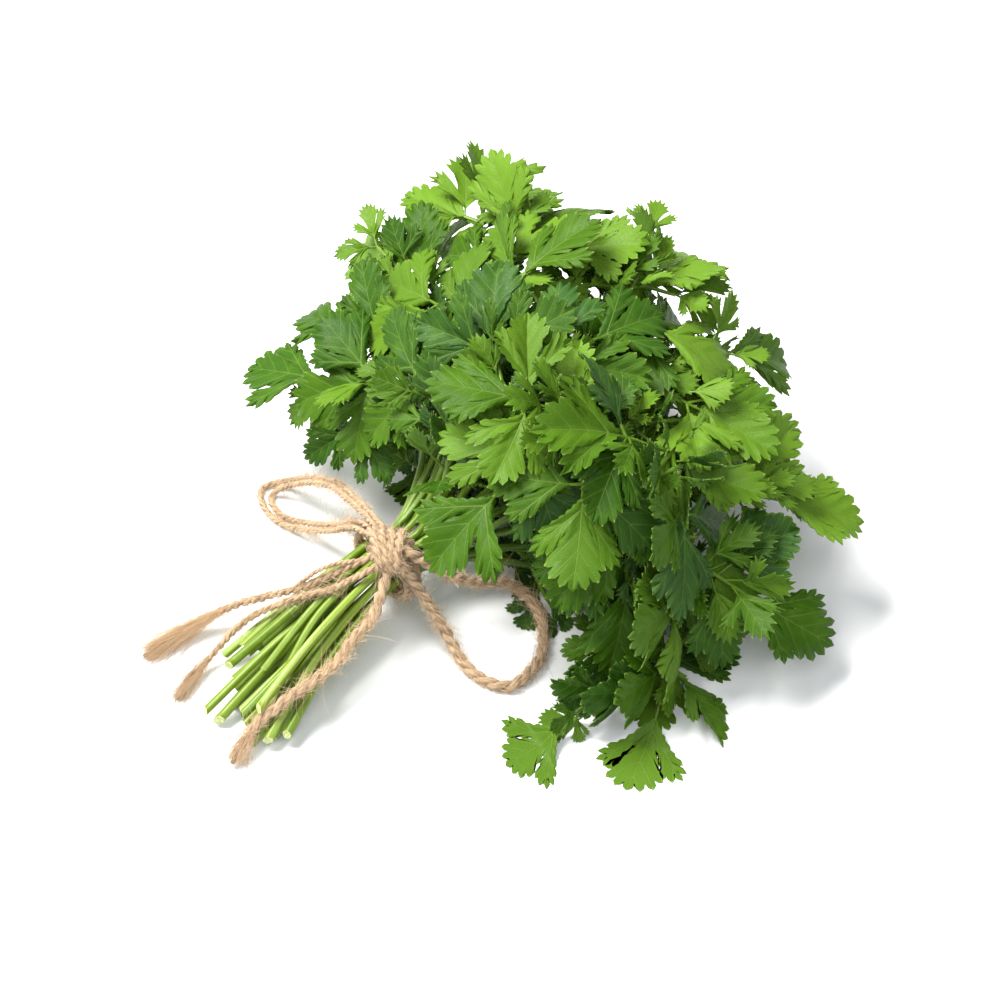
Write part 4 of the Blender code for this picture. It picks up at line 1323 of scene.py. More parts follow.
def woven_leaflet(per_rung, rows):
    """Both halves, the left one the right one mirrored, with the points that fall together merged:
    (six values a point, the four corners of each face)."""
    half = half_leaflet(per_rung, rows)
    ring, step = np.meshgrid(np.arange(len(half) - 1), np.arange(rows - 1), indexing="ij")
    here = ring * rows + step
    quads = np.stack([here, here + 1, here + rows + 1, here + rows], axis=-1).reshape(-1, 4)
    right = half.reshape(-1, 6)
    both = np.vstack([right, right * (-1, 1, 1, 1, 1, 1)])
    faces = np.vstack([quads, quads[:, ::-1] + len(right)])
    _, first, merged = np.unique(np.round(both[:, :2], 5), axis=0, return_index=True, return_inverse=True)
    return both[first], merged.reshape(-1)[faces]


for per_rung, rows in ((2, 5), (1, 3)):
    woven, faces = woven_leaflet(per_rung, rows)
    print("woven leaflet:", len(woven), "points,", len(faces), "faces")

# %% How far a point is from the veins


def distance_to_segments(points, starts, ends):
    """From each point p to the nearest of some straight segments: |p - (start + t (end - start))|, where t
    is the point's share along the segment, kept from 0 to 1."""
    run = ends - starts
    share = ((points[:, None] - starts) * run).sum(2) / np.maximum((run**2).sum(1), 1e-9)
    nearest = starts + np.clip(share, 0, 1)[..., None] * run
    return np.linalg.norm(points[:, None] - nearest, axis=2).min(1)


def rib_segments():
    """The midrib and the two side ribs, as (starts, ends)."""
    ribs = np.array([((0, 0), (0, 1)), ((0, HEART), SIDE_TIP), ((0, HEART), (-SIDE_TIP[0], SIDE_TIP[1]))])
    return ribs[:, 0], ribs[:, 1]


def vein_segments():
    """A side vein to each tooth of both halves, as (starts, ends)."""
    veins = np.array([(rib_walk()[i], edge[i, :2]) for i in np.flatnonzero(edge[:, 2])])
    veins = np.vstack([veins, veins * (-1, 1)])
    return veins[:, 0], veins[:, 1]


print("side veins:", len(vein_segments()[0]))

# %% Its two faces and its rim


def leaf_net(per_rung, rows):
    """The woven leaflet closed into a thin body: its face, the same face turned over below it, and a
    strip that joins them along every edge that only one face has. Where two points of a face have
    merged it is a triangle."""
    woven, faces = woven_leaflet(per_rung, rows)
    count = len(woven)
    kept = faces != np.roll(faces, 1, axis=1)
    quads = faces[kept.all(1)]
    tris = faces[~kept.all(1)][kept[~kept.all(1)]].reshape(-1, 3)
    edges = [quads[:, (i, (i + 1) % 4)] for i in range(4)] + [tris[:, (i, (i + 1) % 3)] for i in range(3)]
    edges = np.vstack(edges)
    keys = np.sort(edges, axis=1) @ (count, 1)
    _, once, times = np.unique(keys, return_index=True, return_counts=True)
    rim = edges[once[times == 1]]
    strip = np.stack([rim[:, 1], rim[:, 0], rim[:, 0] + count, rim[:, 1] + count], axis=1)
    x_y = woven[:, :2]
    from_rib = distance_to_segments(x_y, *rib_segments())
    return {
        "xy": x_y,
        "puff": woven[:, 2],
        "tip": woven[:, 3],
        "out": woven[:, 4],
        "lobe": woven[:, 5],
        "from_rib": from_rib,
        "to_rib": from_rib * (1 + RIB_TAPER * np.linalg.norm(x_y, axis=1)),
        "to_vein": distance_to_segments(x_y, *vein_segments()) * (1 + woven[:, 4]),
        "faces": {
            3: np.vstack([tris, tris[:, ::-1] + count]),
            4: np.vstack([quads, quads[:, ::-1] + count, strip]),
        },
    }


LARGE_NET = leaf_net(2, 5)
SMALL_NET = leaf_net(1, 3)
for net in (LARGE_NET, SMALL_NET):
    print("a leaflet has", {k: len(f) for k, f in net["faces"].items()}, "faces by their corners")

# %% [markdown]
# ## A leaflet in its place
#
# The flat leaflet now gets the bend of its stand-in, and what the stand-in leaves out: lobes that droop
# and twist by themselves, cushions between the sunken veins, and a wavy edge. These are sums of smooth
# functions of the flat place, so they need no modelling by hand, and each leaflet draws its own.

# %% Turning the side lobes
LOBE_TURN = (-14, 10)
LOBE_GROWTH = (0.86, 1.04)
SLIMMER = (-0.16, 0.04)


def swung_lobes(net, breadth, draw):
    """The flat leaflet with each side lobe turned about the heart by t and made k times as long, both
    fading to nothing at the middle lobe: p = heart + (1 + (k - 1) w) turn(t w) (p - heart)."""
    x, y = net["xy"].T
    right = x > 0
    angle = np.radians(np.where(right, *draw.uniform(*LOBE_TURN, 2))) * net["lobe"]
    grow = 1 + (np.where(right, *draw.uniform(*LOBE_GROWTH, 2)) - 1) * net["lobe"]
    across, up = np.abs(x), y - HEART
    out = grow * (np.cos(angle) * across + np.sin(angle) * up)
    along = grow * (np.cos(angle) * up - np.sin(angle) * across)
    return np.sign(x) * out * breadth * (1 + draw.uniform(*SLIMMER) * (1 - net["lobe"])), HEART + along


swung_x, _ = swung_lobes(LARGE_NET, 1.0, np.random.default_rng(SEED))
print("a swung leaflet is", swung_x.min().round(2), "to", swung_x.max().round(2), "across")

# %% Bending a leaflet
HALF_BLADE = 0.17
PUFF = 0.32
WAVE = 0.028
WAVE_TURNS = 9
FOLD = (-0.05, 0.30)
CUP = (-0.045, 0.03)
LOBE_FALL = (-0.05, 0.13)
SKEW = (-0.10, 0.10)
LAID_CALM = 0.3
FLOOR_SKIN = 0.2


def fine_leaf(leaf, net, tone, draw):
    """A leaflet's points: z = its stand-in's bend + cushions + w v^2 sin(9 y + p) + a cup v^2 + a fold
    that rises with the distance from the ribs - lobe fall, which grows with the square of the reach to
    the side. One that is laid on the surface has 0.3 of its waves, cup and falls."""
    x, y = swung_lobes(net, leaf["breadth"], draw)
    side = np.sign(x)
    fall = np.where(side > 0, *draw.uniform(*LOBE_FALL, 2)) * (2 * x) ** 2
    phase = np.where(side > 0, *draw.uniform(0, 2 * np.pi, 2))
    flat_x = x + draw.uniform(*SKEW) * y * y
    wave = WAVE * net["out"] ** 2 * np.sin(WAVE_TURNS * y + phase)
    cup = draw.uniform(*CUP) * net["out"] ** 2 + draw.uniform(*FOLD) * net["from_rib"]
    calm = LAID_CALM if leaf["laid"] else 1.0
    z = blade_height(x, y, leaf["form"]) + calm * (wave - fall + cup) + PUFF / leaf["length"] * net["puff"]
    middle = to_world(np.column_stack([flat_x, y, z]), leaf["base"], leaf["axes"], leaf["length"])
    offset = leaf["axes"][2] * HALF_BLADE
    top = on_surface(middle + offset, FLOOR_SKIN + (HALF_BLADE if offset[2] > 0 else 0))
    under = on_surface(middle - offset, FLOOR_SKIN + (0 if offset[2] > 0 else HALF_BLADE))
    count = len(middle)
    own = draw.uniform(0, 1)
    veins = np.column_stack([net["to_rib"] * leaf["length"], net["to_vein"] * leaf["length"], net["tip"]])
    tones = np.tile([tone, 0.0, own], (2 * count, 1))
    tones[count:, 1] = 1.0
    return {
        "points": np.vstack([top, under]),
        "faces": net["faces"],
        "looks": {w: np.full(len(f), BLADE_LOOK) for w, f in net["faces"].items()},
        "veins": np.vstack([veins, veins]),
        "tone": tones,
    }


sample = fine_leaf(FLAT_LEAF, LARGE_NET, 0.3, np.random.default_rng(SEED))["points"]
print("a leaflet 30 mm long measures", np.ptp(sample, axis=0).round(1), "mm")

# %% [markdown]
# ## Leaf and stalk materials
#
# A leaf's colour is mostly what light does inside it. The upper side is a deep green with a soft
# gloss, veins and tooth tips are paler, and the underside is paler and dull. Light that comes from
# behind passes through as yellow-green, so part of the shader is translucent. The leaves on top of the
# bunch are also painted yellower and those low down bluish and deeper, partly their own colour and
# partly painted light and shade, which each leaflet carries as a value.

# %% Nodes and sockets


def node(tree, kind, **settings):
    """A new node of a kind, with its settings."""
    made = tree.nodes.new(kind)
    for key, value in settings.items():
        setattr(made, key, value)
    return made


def feed(tree, socket, value):
    """Sets a socket to a value, or links it to another node's output."""
    if isinstance(value, bpy.types.NodeSocket):
        tree.links.new(value, socket)
    else:
        socket.default_value = value


def carried_value(tree, name):
    """The three numbers that a piece carries at each point under a name."""
    stored = node(tree, "ShaderNodeAttribute", attribute_name=name)
    split = node(tree, "ShaderNodeSeparateXYZ")
    tree.links.new(stored.outputs["Vector"], split.inputs[0])
    return split.outputs


def new_material(name):
    """A material, with its node tree, its shader and its output."""
    made = bpy.data.materials.new(name)
    made.use_nodes = True
    tree = made.node_tree
    return made, tree, tree.nodes["Principled BSDF"], tree.nodes["Material Output"]


print(len(bpy.data.materials), "materials before the bunch has its own")

# %% Numbers, colours and bumps


def sums(tree, operation, *values):
    """One step of arithmetic on numbers or on other nodes' outputs."""
    made = node(tree, "ShaderNodeMath", operation=operation)
    for socket, value in zip(made.inputs, values):
        feed(tree, socket, value)
    return made.outputs[0]


def blend(tree, share, first, second):
    """The colour (1 - share) * first + share * second."""
    made = node(tree, "ShaderNodeMix", data_type="RGBA")
    feed(tree, made.inputs["Factor"], share)
    feed(tree, made.inputs[6], first)
    feed(tree, made.inputs[7], second)
    return made.outputs[2]


def between(tree, value, low, high, start=0.0, end=1.0):
    """A value's place between low and high, as a number from start to end with eased ends."""
    made = node(tree, "ShaderNodeMapRange", interpolation_type="SMOOTHSTEP")
    for name, number in (("From Min", low), ("From Max", high), ("To Min", start), ("To Max", end)):
        made.inputs[name].default_value = number
    feed(tree, made.inputs["Value"], value)
    return made.outputs[0]


def mottle(tree, vector, scale, detail=2.0, rough=0.5):
    """Smooth noise from 0 to 1, whose scale is its waves in one unit of the vector."""
    made = node(tree, "ShaderNodeTexNoise")
    feed(tree, made.inputs["Vector"], vector)
    made.inputs["Scale"].default_value = scale
    made.inputs["Detail"].default_value = detail
    made.inputs["Roughness"].default_value = rough
    return made.outputs["Fac"]


def raised(tree, height, distance, strength=1.0):
    """A surface's direction as if it rose by height * distance, in metres."""
    made = node(tree, "ShaderNodeBump")
    made.inputs["Strength"].default_value = strength
    made.inputs["Distance"].default_value = distance
    feed(tree, made.inputs["Height"], height)
    return made.outputs["Normal"]


print("helpers:", *(helper.__name__ for helper in (sums, blend, between, mottle, raised)))

# %% Leaf material
DEEP_GREEN = (0.030, 0.094, 0.001, 1)
BLUE_GREEN = (0.040, 0.110, 0.022, 1)
BRIGHT_GREEN = (0.150, 0.290, 0.022, 1)
UNDERSIDE = (0.100, 0.205, 0.026, 1)
VEIN_PALE = (0.190, 0.300, 0.060, 1)
TIP_PALE = (0.380, 0.450, 0.120, 1)
THROUGH = (0.260, 0.480, 0.026, 1)
THROUGH_SHARE = 0.34
LEAF_SHINE = 0.15
LEAF_RELIEF = 0.00022
CELLS = 700


def leaf_material():
    """Blue-green to bright green by a leaflet's tone, paler below, with pale veins and tooth tips. Its
    relief is a fine net of cells, with the veins sunk into it."""
    made, tree, shader, output = new_material("herb_leaf")
    place = node(tree, "ShaderNodeTexCoord").outputs["Object"]
    to_rib, to_vein, tip = carried_value(tree, "veins")
    tone, under, own = carried_value(tree, "tone")

    # The leaflet's green by its tone, which is partly its own colour and partly painted light and shade,
    # with brighter patches, and the underside's.
    patches = mottle(tree, place, 120, 3)
    base = blend(tree, between(tree, tone, 0.1, 0.45), BLUE_GREEN, DEEP_GREEN)
    yellow = sums(tree, "ADD", tone, sums(tree, "MULTIPLY", own, 0.22))
    base = blend(tree, between(tree, yellow, 0.4, 0.95), base, BRIGHT_GREEN)
    base = blend(tree, between(tree, patches, 0.4, 0.8, 0.0, 0.25), base, BRIGHT_GREEN)
    base = blend(tree, sums(tree, "MULTIPLY", under, 0.75), base, UNDERSIDE)

    # The ribs are pale to 0.6 mm from their middle at the leaflet's base, and less further on. The
    # side veins are pale to 0.4 mm where they leave a rib.
    rib_line = between(tree, to_rib, 0.08, 0.6, 0.6, 0.0)
    vein_line = between(tree, to_vein, 0.0, 0.4, 0.34, 0.0)
    lines = sums(tree, "MAXIMUM", rib_line, vein_line)
    base = blend(tree, lines, base, VEIN_PALE)
    base = blend(tree, between(tree, tip, 0.7, 1.0, 0.0, 0.6), base, TIP_PALE)

    net = node(tree, "ShaderNodeTexVoronoi", feature="DISTANCE_TO_EDGE")
    net.inputs["Scale"].default_value = CELLS
    tree.links.new(place, net.inputs["Vector"])
    cells = between(tree, net.outputs["Distance"], 0.0, 0.12)
    height = sums(tree, "SUBTRACT", sums(tree, "MULTIPLY", cells, 0.25), lines)
    normal = raised(tree, height, LEAF_RELIEF, 0.7)
    feed(tree, shader.inputs["Base Color"], base)
    feed(tree, shader.inputs["Normal"], normal)
    feed(tree, shader.inputs["Roughness"], between(tree, under, 0, 1, 0.42, 0.65))
    shader.inputs["Specular IOR Level"].default_value = LEAF_SHINE

    # What light from behind gives is mixed in beside what the surface sends back.
    through = node(tree, "ShaderNodeBsdfTranslucent")
    feed(tree, through.inputs["Color"], blend(tree, 0.45, THROUGH, base))
    feed(tree, through.inputs["Normal"], normal)
    both = node(tree, "ShaderNodeMixShader")
    both.inputs["Fac"].default_value = THROUGH_SHARE
    tree.links.new(shader.outputs[0], both.inputs[1])
    tree.links.new(through.outputs[0], both.inputs[2])
    tree.links.new(both.outputs[0], output.inputs["Surface"])
    return made


leaf_look = leaf_material()
print("the leaf material has", len(leaf_look.node_tree.nodes), "nodes")

# %% Stalk and cut end materials
STALK_PALE = (0.260, 0.360, 0.050, 1)
STALK_OLIVE = (0.125, 0.200, 0.010, 1)
STALK_GREEN = (0.075, 0.155, 0.005, 1)
CUT_PALE = (0.560, 0.580, 0.270, 1)
GREENING = (40, 115)
STALK_RELIEF = 0.0002


def stalk_material():
    """Pale near the cut end and greener on from the tie, with darker grooves between the ribs."""
    made, tree, shader, _ = new_material("herb_stalk")
    place = node(tree, "ShaderNodeTexCoord").outputs["Object"]
    run, rib, tone = carried_value(tree, "veins")
    # Side stalks and leaf stalks take their stem's tone, which is partly painted light and shade.
    base = blend(tree, between(tree, tone, 0.2, 1.0), STALK_OLIVE, STALK_PALE)
    base = blend(tree, between(tree, run, *GREENING), base, STALK_GREEN)
    base = blend(tree, between(tree, rib, -1, 0.6, 0.5, 0.0), base, STALK_GREEN)
    base = blend(tree, between(tree, mottle(tree, place, 260, 3), 0.45, 0.8, 0.0, 0.3), base, STALK_PALE)
    feed(tree, shader.inputs["Base Color"], base)
    shader.inputs["Roughness"].default_value = 0.38
    shader.inputs["Specular IOR Level"].default_value = 0.35
    feed(tree, shader.inputs["Normal"], raised(tree, mottle(tree, place, 700, 3), STALK_RELIEF, 0.6))
    return made


def cut_material():
    """The pale, damp pith of a cut stem."""
    made, tree, shader, _ = new_material("herb_cut_end")
    place = node(tree, "ShaderNodeTexCoord").outputs["Object"]
    pores = mottle(tree, place, 1400, 2)
    feed(tree, shader.inputs["Base Color"], blend(tree, between(tree, pores, 0.4, 0.7), CUT_PALE, STALK_PALE))
    shader.inputs["Roughness"].default_value = 0.45
    return made


stalk_look = stalk_material()
cut_look = cut_material()
print("materials:", leaf_look.name, stalk_look.name, cut_look.name)

# %% [markdown]
# ## Leaflets beside the bow
#
# The solid leaflets stand clear of the twine, but the picture looks down on the bunch, and a leaflet
# above the bow can still hide it. A leaflet hides the bow if one of its points is nearer to the camera
# than a loop's line, and the picture shows it within 4.1 mm of that line. Such a leaflet is made shorter
# in steps, and a young one is left out. The one leaflet that the picture shows over the front loop
# stays.

# %% The picture's own axes
TOWARDS = towards_camera(CAMERA_AZIMUTH, CAMERA_ELEVATION)
ACROSS = unit(np.cross(UP, TOWARDS))
PICTURE_AXES = np.array([ACROSS, np.cross(TOWARDS, ACROSS), TOWARDS])


def seen(points):
    """Points as the picture shows them: across, up, and towards the camera, in mm."""
    return np.asarray(points) @ PICTURE_AXES.T


bow = np.vstack([seen(smooth_route(ROUTES[name], 1.0)) for name in ROUTES if "loop" in name])
print("the bow is", np.ptp(bow, axis=0)[:2].round(), "mm across and up in the picture")

# %% Leaflets that would hide the bow
BOW_SCALES = (1.0, 0.85, 0.7, 0.58)
BOW_CLEAR = 4.1
OVER_BOW = ("front_over_tie",)

# A young leaflet that stands higher than this would make the bunch taller.
TALLEST = 110.5


def hides_bow(leaf):
    """Whether a leaflet lies over a loop of the bow as the picture shows it."""
    points = seen(leaflet(leaf)[0])
    gaps = np.linalg.norm(points[:, None, :2] - bow[:, :2], axis=2)
    return bool(((gaps < BOW_CLEAR) & (points[:, None, 2] > bow[:, 2])).any())


def shortened(leaf):
    """Makes a leaflet shorter until it hides nothing of the bow, and says whether it had to."""
    full = leaf["length"]
    for scale in BOW_SCALES:
        leaf["length"] = full * scale
        if not hides_bow(leaf):
            break
    return scale < 1


def stays(leaf):
    """Whether a young leaflet hides nothing of the bow and stands no higher than the bunch."""
    return not hides_bow(leaf) and leaflet(leaf)[0][:, 2].max() < TALLEST


shorter = sum(
    shortened(leaf)
    for (name, *_), (_, leaves) in zip(LEAFY_STEMS, grown)
    for leaf in leaves
    if name not in OVER_BOW
)
young = [[leaf for leaf in leaves if stays(leaf)] for leaves in young]
print(shorter, "leaflets are shorter beside the bow,", sum(map(len, young)), "young leaflets stay")

# %% [markdown]
# ## Dressing every leafy stem
#
# Each solid stem is replaced by one mesh: the ribbed stem, its side stalks, and a stalk and a blade for
# each of its leaflets. How yellow a leaflet is comes from its stem, since the picture's top is
# yellower, from how far out it lies in the bunch, and from a draw of its own. The first two are partly
# painted light and shade: yellower on top and outside, deeper green inside.

# %% A leaflet with its stalk
TONE_SPREAD = 0.15
# Painted light and shade by place: the tone that a leaflet gains for each 68 mm out from the middle.
PAINTED_RIM_LIGHT = 0.35
RIM_AT = 68.0
STALK_INSIDE = 0.05
LEAF_STALK_TIP = 0.4
YOUNG_TONE = 0.08
YOUNG_STALK_RADII = (0.45, 0.32)
YOUNG_STALK_STEPS = 5


def leaf_tone(leaf, stem_tone, draw):
    """Its stem's, yellower by 0.35 for each 68 mm that it lies further from the middle, as painted light on
    the outer leaflets and painted shade on the inner ones, and a little of its own."""
    out = np.linalg.norm(leaf["base"] + 0.5 * leaf["length"] * leaf["axes"][1] - DOME_CENTRE)
    return stem_tone + PAINTED_RIM_LIGHT * (out / RIM_AT - 1) + draw.normal(0, TONE_SPREAD)


def leaf_stalk(leaf, radii, steps, tone):
    """A leaflet's stalk, from its root to 0.05 of the leaflet's length inside the blade."""
    inside = leaf["base"] + STALK_INSIDE * leaf["length"] * leaf["axes"][1]
    line = bowed(leaf["root"], leaf["base"] - leaf["root"], inside, leaf["axes"][1], steps)
    return stalk_shape(line, *radii, tone)


flat_stalk = leaf_stalk(FLAT_LEAF, YOUNG_STALK_RADII, YOUNG_STALK_STEPS, 0.3)
print("a leaflet's stalk measures", np.ptp(flat_stalk["points"], axis=0).round(1), "mm")

# %% Dressing the stems


def dressed_stem(owner):
    """A stem with its stalks and leaflets, as one shape."""
    line = stem_lines[owner]
    stalks, leaves = grown[owner]
    tone = LEAFY_STEMS[owner][TONE]
    draw = np.random.default_rng((SEED, owner, 1))
    along = unit(line[FORK] - line[FORK - 1])
    shapes = [whole_stem(line, draw.uniform(), draw)]
    for root, end, way, _ in [*stalks, *sprigs[owner]]:
        taper = np.array(SIDE_STALK_TAPER) * SIDE_STALK_RADIUS
        shapes.append(stalk_shape(bowed(root, along + way, end, way), *taper, tone))
    for leaf in leaves:
        shapes.append(leaf_stalk(leaf, (LEAF_STALK_RADIUS, LEAF_STALK_TIP), STALK_STEPS, tone))
        shapes.append(fine_leaf(leaf, LARGE_NET, leaf_tone(leaf, tone, draw), draw))
    for leaf in young[owner]:
        shapes.append(leaf_stalk(leaf, YOUNG_STALK_RADII, YOUNG_STALK_STEPS, tone))
        shapes.append(fine_leaf(leaf, SMALL_NET, leaf_tone(leaf, tone + YOUNG_TONE, draw), draw))
    return stacked(shapes)


triangles = 0
for owner, (name, *_) in enumerate(LEAFY_STEMS):
    piece = new_piece("herb_" + name, dressed_stem(owner), (leaf_look, stalk_look, cut_look))
    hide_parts("leafy_stem_" + name)
    piece.data.calc_loop_triangles()
    triangles += len(piece.data.loop_triangles)
print(len(LEAFY_STEMS), "leafy stems,", triangles, "triangles")

# %% [markdown]
# ## Laid jute
#
# The twine is jute: long, stiff, dull fibres, spun into a yarn, with two yarns laid round each other.
# It can be modelled as two round strands that wind round one line. The light catches each strand in
# turn, and that is what the eye reads as rope. Loose fibres stand off it, and its cut ends fray into
# brushes. The fibres are thin three-sided slips, because strands of particle hair can't be exported.

# %% A laid rope
STRAND_REACH = 0.17
STRAND_THICK = 0.33
LAY_LENGTH = 2.3
STRAND_SIDES = 12
FIBRE_RIDGES = 6
RIDGE_HEIGHT = 0.07
RIDGE_WIND = 3
RIDGE_FADE = 0.37


def laid_rope(line, diameter, step, swell=None, turn=0.0):
    """Two strands round a line. Strand k's middle is line + 0.17 d (cos p side + sin p up), with
    p = 2 pi s / lay + k pi + turn, and its radius is 0.33 d, times low ridges that wind round it. Swell
    is (shares of the length, sizes there). Each point carries how far along and how far round it is, in
    mm, and its depth: 0 in the middle of the rope and 1 at its skin."""
    curve = spaced(line, step)
    along = np.linspace(0, line_length(curve), len(curve))
    side, up = line_axes(curve)
    grow = np.ones(len(curve)) if swell is None else np.interp(along / along[-1], *swell)
    angle = 2 * np.pi * np.arange(STRAND_SIDES) / STRAND_SIDES
    lie = np.concatenate([np.repeat(along, STRAND_SIDES), along[[0, -1]]])
    round_it = np.concatenate([np.tile(angle, len(curve)) * STRAND_THICK * diameter, [0, 0]])
    middles = np.vstack([np.repeat(curve, STRAND_SIDES, axis=0), curve[[0, -1]]])
    strands = []
    for k in (0, 1):
        phase = (2 * np.pi * along / (LAY_LENGTH * diameter) + k * np.pi + turn)[:, None]
        centre = STRAND_REACH * diameter * grow[:, None] * (np.cos(phase) * side + np.sin(phase) * up)
        fade = np.cos(angle + RIDGE_FADE * phase)
        ridge = 1 + RIDGE_HEIGHT * np.cos(FIBRE_RIDGES * angle + RIDGE_WIND * phase) * fade
        points, quads, caps = carried(curve, STRAND_THICK * diameter * grow[:, None] * ridge, centre)
        depth = np.linalg.norm(points - middles, axis=1) / (0.5 * diameter)
        strand = {
            "points": points,
            "faces": {3: caps, 4: quads},
            "looks": {3: np.zeros(len(caps)), 4: np.zeros(len(quads))},
            "lay": np.column_stack([lie, round_it, depth]),
        }
        strands.append(strand)
    return stacked(strands)


short_rope = laid_rope(np.array(((0, 0, 0), (10.0, 0, 0), (20.0, 0, 1.0))), STRAND, 0.5)
print("a rope of", STRAND, "mm is", np.ptp(short_rope["points"], axis=0)[1].round(2), "mm wide")

# %% Loose fibres
FIBRE_POINTS = 4
FIBRE_SIDES = 3
FIBRE_TAPER = 0.6
FIBRE_SHIFT = 0.37
FIBRE_DEPTH = 2

# The sides of every fibre are found square to this, which is no likely direction for a fibre.
FIBRE_SIDE = np.array((0.31, 0.52, 0.79))


def fibres(roots, ways, curls, lengths, thickness):
    """Many bent slips at once. Point t of a fibre is root + length * (t way + t^2 curl), and it is three
    points round that, thinning to 0.4 of its thickness at its tip."""
    t = np.linspace(0, 1, FIBRE_POINTS)
    bend = t[:, None] * ways[:, None] + t[:, None] ** 2 * curls[:, None]
    spine = roots[:, None] + lengths[:, None, None] * bend
    side = unit_rows(np.cross(ways, FIBRE_SIDE))
    up = np.cross(side, ways)
    angle = 2 * np.pi * np.arange(FIBRE_SIDES) / FIBRE_SIDES
    spokes = np.cos(angle)[:, None] * side[:, None] + np.sin(angle)[:, None] * up[:, None]
    thick = thickness[:, None] * (1 - FIBRE_TAPER * t)
    points = (spine[:, :, None] + thick[..., None, None] * spokes[:, None]).reshape(-1, 3)
    counts = (len(roots), FIBRE_POINTS - 1, FIBRE_SIDES)
    fibre, ring, step = np.meshgrid(*map(np.arange, counts), indexing="ij")
    here = (fibre * FIBRE_POINTS + ring) * FIBRE_SIDES + step
    beside = (fibre * FIBRE_POINTS + ring) * FIBRE_SIDES + (step + 1) % FIBRE_SIDES
    quads = np.stack([here, beside, beside + FIBRE_SIDES, here + FIBRE_SIDES], axis=-1).reshape(-1, 4)
    first = np.arange(len(roots)) * FIBRE_POINTS * FIBRE_SIDES
    last = first + (FIBRE_POINTS - 1) * FIBRE_SIDES
    at_root = np.stack([first + 2, first + 1, first], axis=1)
    at_tip = np.stack([last, last + 1, last + 2], axis=1)
    caps = np.vstack([at_root, at_tip])
    lie = np.tile(np.repeat(t, FIBRE_SIDES), len(roots)) * np.repeat(lengths, FIBRE_POINTS * FIBRE_SIDES)
    shift = np.repeat(np.arange(len(roots)) * FIBRE_SHIFT, FIBRE_POINTS * FIBRE_SIDES)
    return {
        "points": points,
        "faces": {3: caps, 4: quads},
        "looks": {3: np.zeros(len(caps)), 4: np.zeros(len(quads))},
        "lay": np.column_stack([lie, shift, FIBRE_DEPTH + 0 * lie]),
    }


pair = fibres(np.zeros((2, 3)), np.eye(3)[:2], np.zeros((2, 3)), np.array((2.0, 3.0)), np.full(2, 0.05))
print("two fibres have", len(pair["points"]), "points and", len(pair["faces"][4]), "sides")

# %% The fuzz along a rope
FUZZ_PER_MM = 6.5
FUZZ_LENGTH = (1.0, 4.5)
FUZZ_THICK = (0.05, 0.085)
FUZZ_OUT = (0.25, 1.1)
FUZZ_WANDER = 0.2
FUZZ_CURL = 0.35
FUZZ_ROOT = 0.40
FUZZ_MARGIN = 20
STRAY = 0.06
STRAY_LENGTH = 2.6
LOWEST_FIBRE = 0.12


def above_surface(shape):
    """A shape with every point that is under the surface brought up to just above it."""
    shape["points"] = on_surface(shape["points"], LOWEST_FIBRE)
    return shape


def fuzz(line, diameter, draw):
    """Fibres that leave a rope's surface all along it, mostly along it and a little outwards. Six in a
    hundred are strays, and 2.6 times as long."""
    curve = spaced(line, LINE_STEP)
    count = int(line_length(curve) * FUZZ_PER_MM * diameter / STRAND)
    at = draw.integers(FUZZ_MARGIN, len(curve) - FUZZ_MARGIN, count)
    side, up = line_axes(curve)
    tangent = unit_rows(np.gradient(curve, axis=0))[at] * draw.choice((-1, 1), count)[:, None]
    angle = draw.uniform(0, 2 * np.pi, count)[:, None]
    out = np.cos(angle) * side[at] + np.sin(angle) * up[at]
    leaving = tangent + draw.uniform(*FUZZ_OUT, (count, 1)) * out
    ways = unit_rows(leaving + draw.normal(0, FUZZ_WANDER, (count, 3)))
    curls = draw.normal(0, FUZZ_CURL, (count, 3))
    lengths = draw.uniform(*FUZZ_LENGTH, count)
    lengths = lengths * np.where(draw.uniform(0, 1, count) < STRAY, STRAY_LENGTH, 1)
    roots = curve[at] + FUZZ_ROOT * diameter * out
    return above_surface(fibres(roots, ways, curls, lengths, draw.uniform(*FUZZ_THICK, count)))


sample_line = np.array(((0, 0, 20.0), (20.0, 0, 20.0), (40.0, 2.0, 20.0)))
sample_fuzz = fuzz(sample_line, STRAND, np.random.default_rng(SEED))
print("4 cm of twine have", len(sample_fuzz["faces"][3]) // 2, "loose fibres")

# %% The brush at a cut end
BRUSH_START = 1.5
BRUSH_WANDER = 0.3
BRUSH_CURL = 0.12
BRUSH_FLAT = (1, 1, 0.6)
BRUSH_REACH = (0.7, 1.0)
BRUSH_UNEVEN = (-1.5, 1.0)
BRUSH_THICK = (0.045, 0.1)
FIRST_ROOT = 2


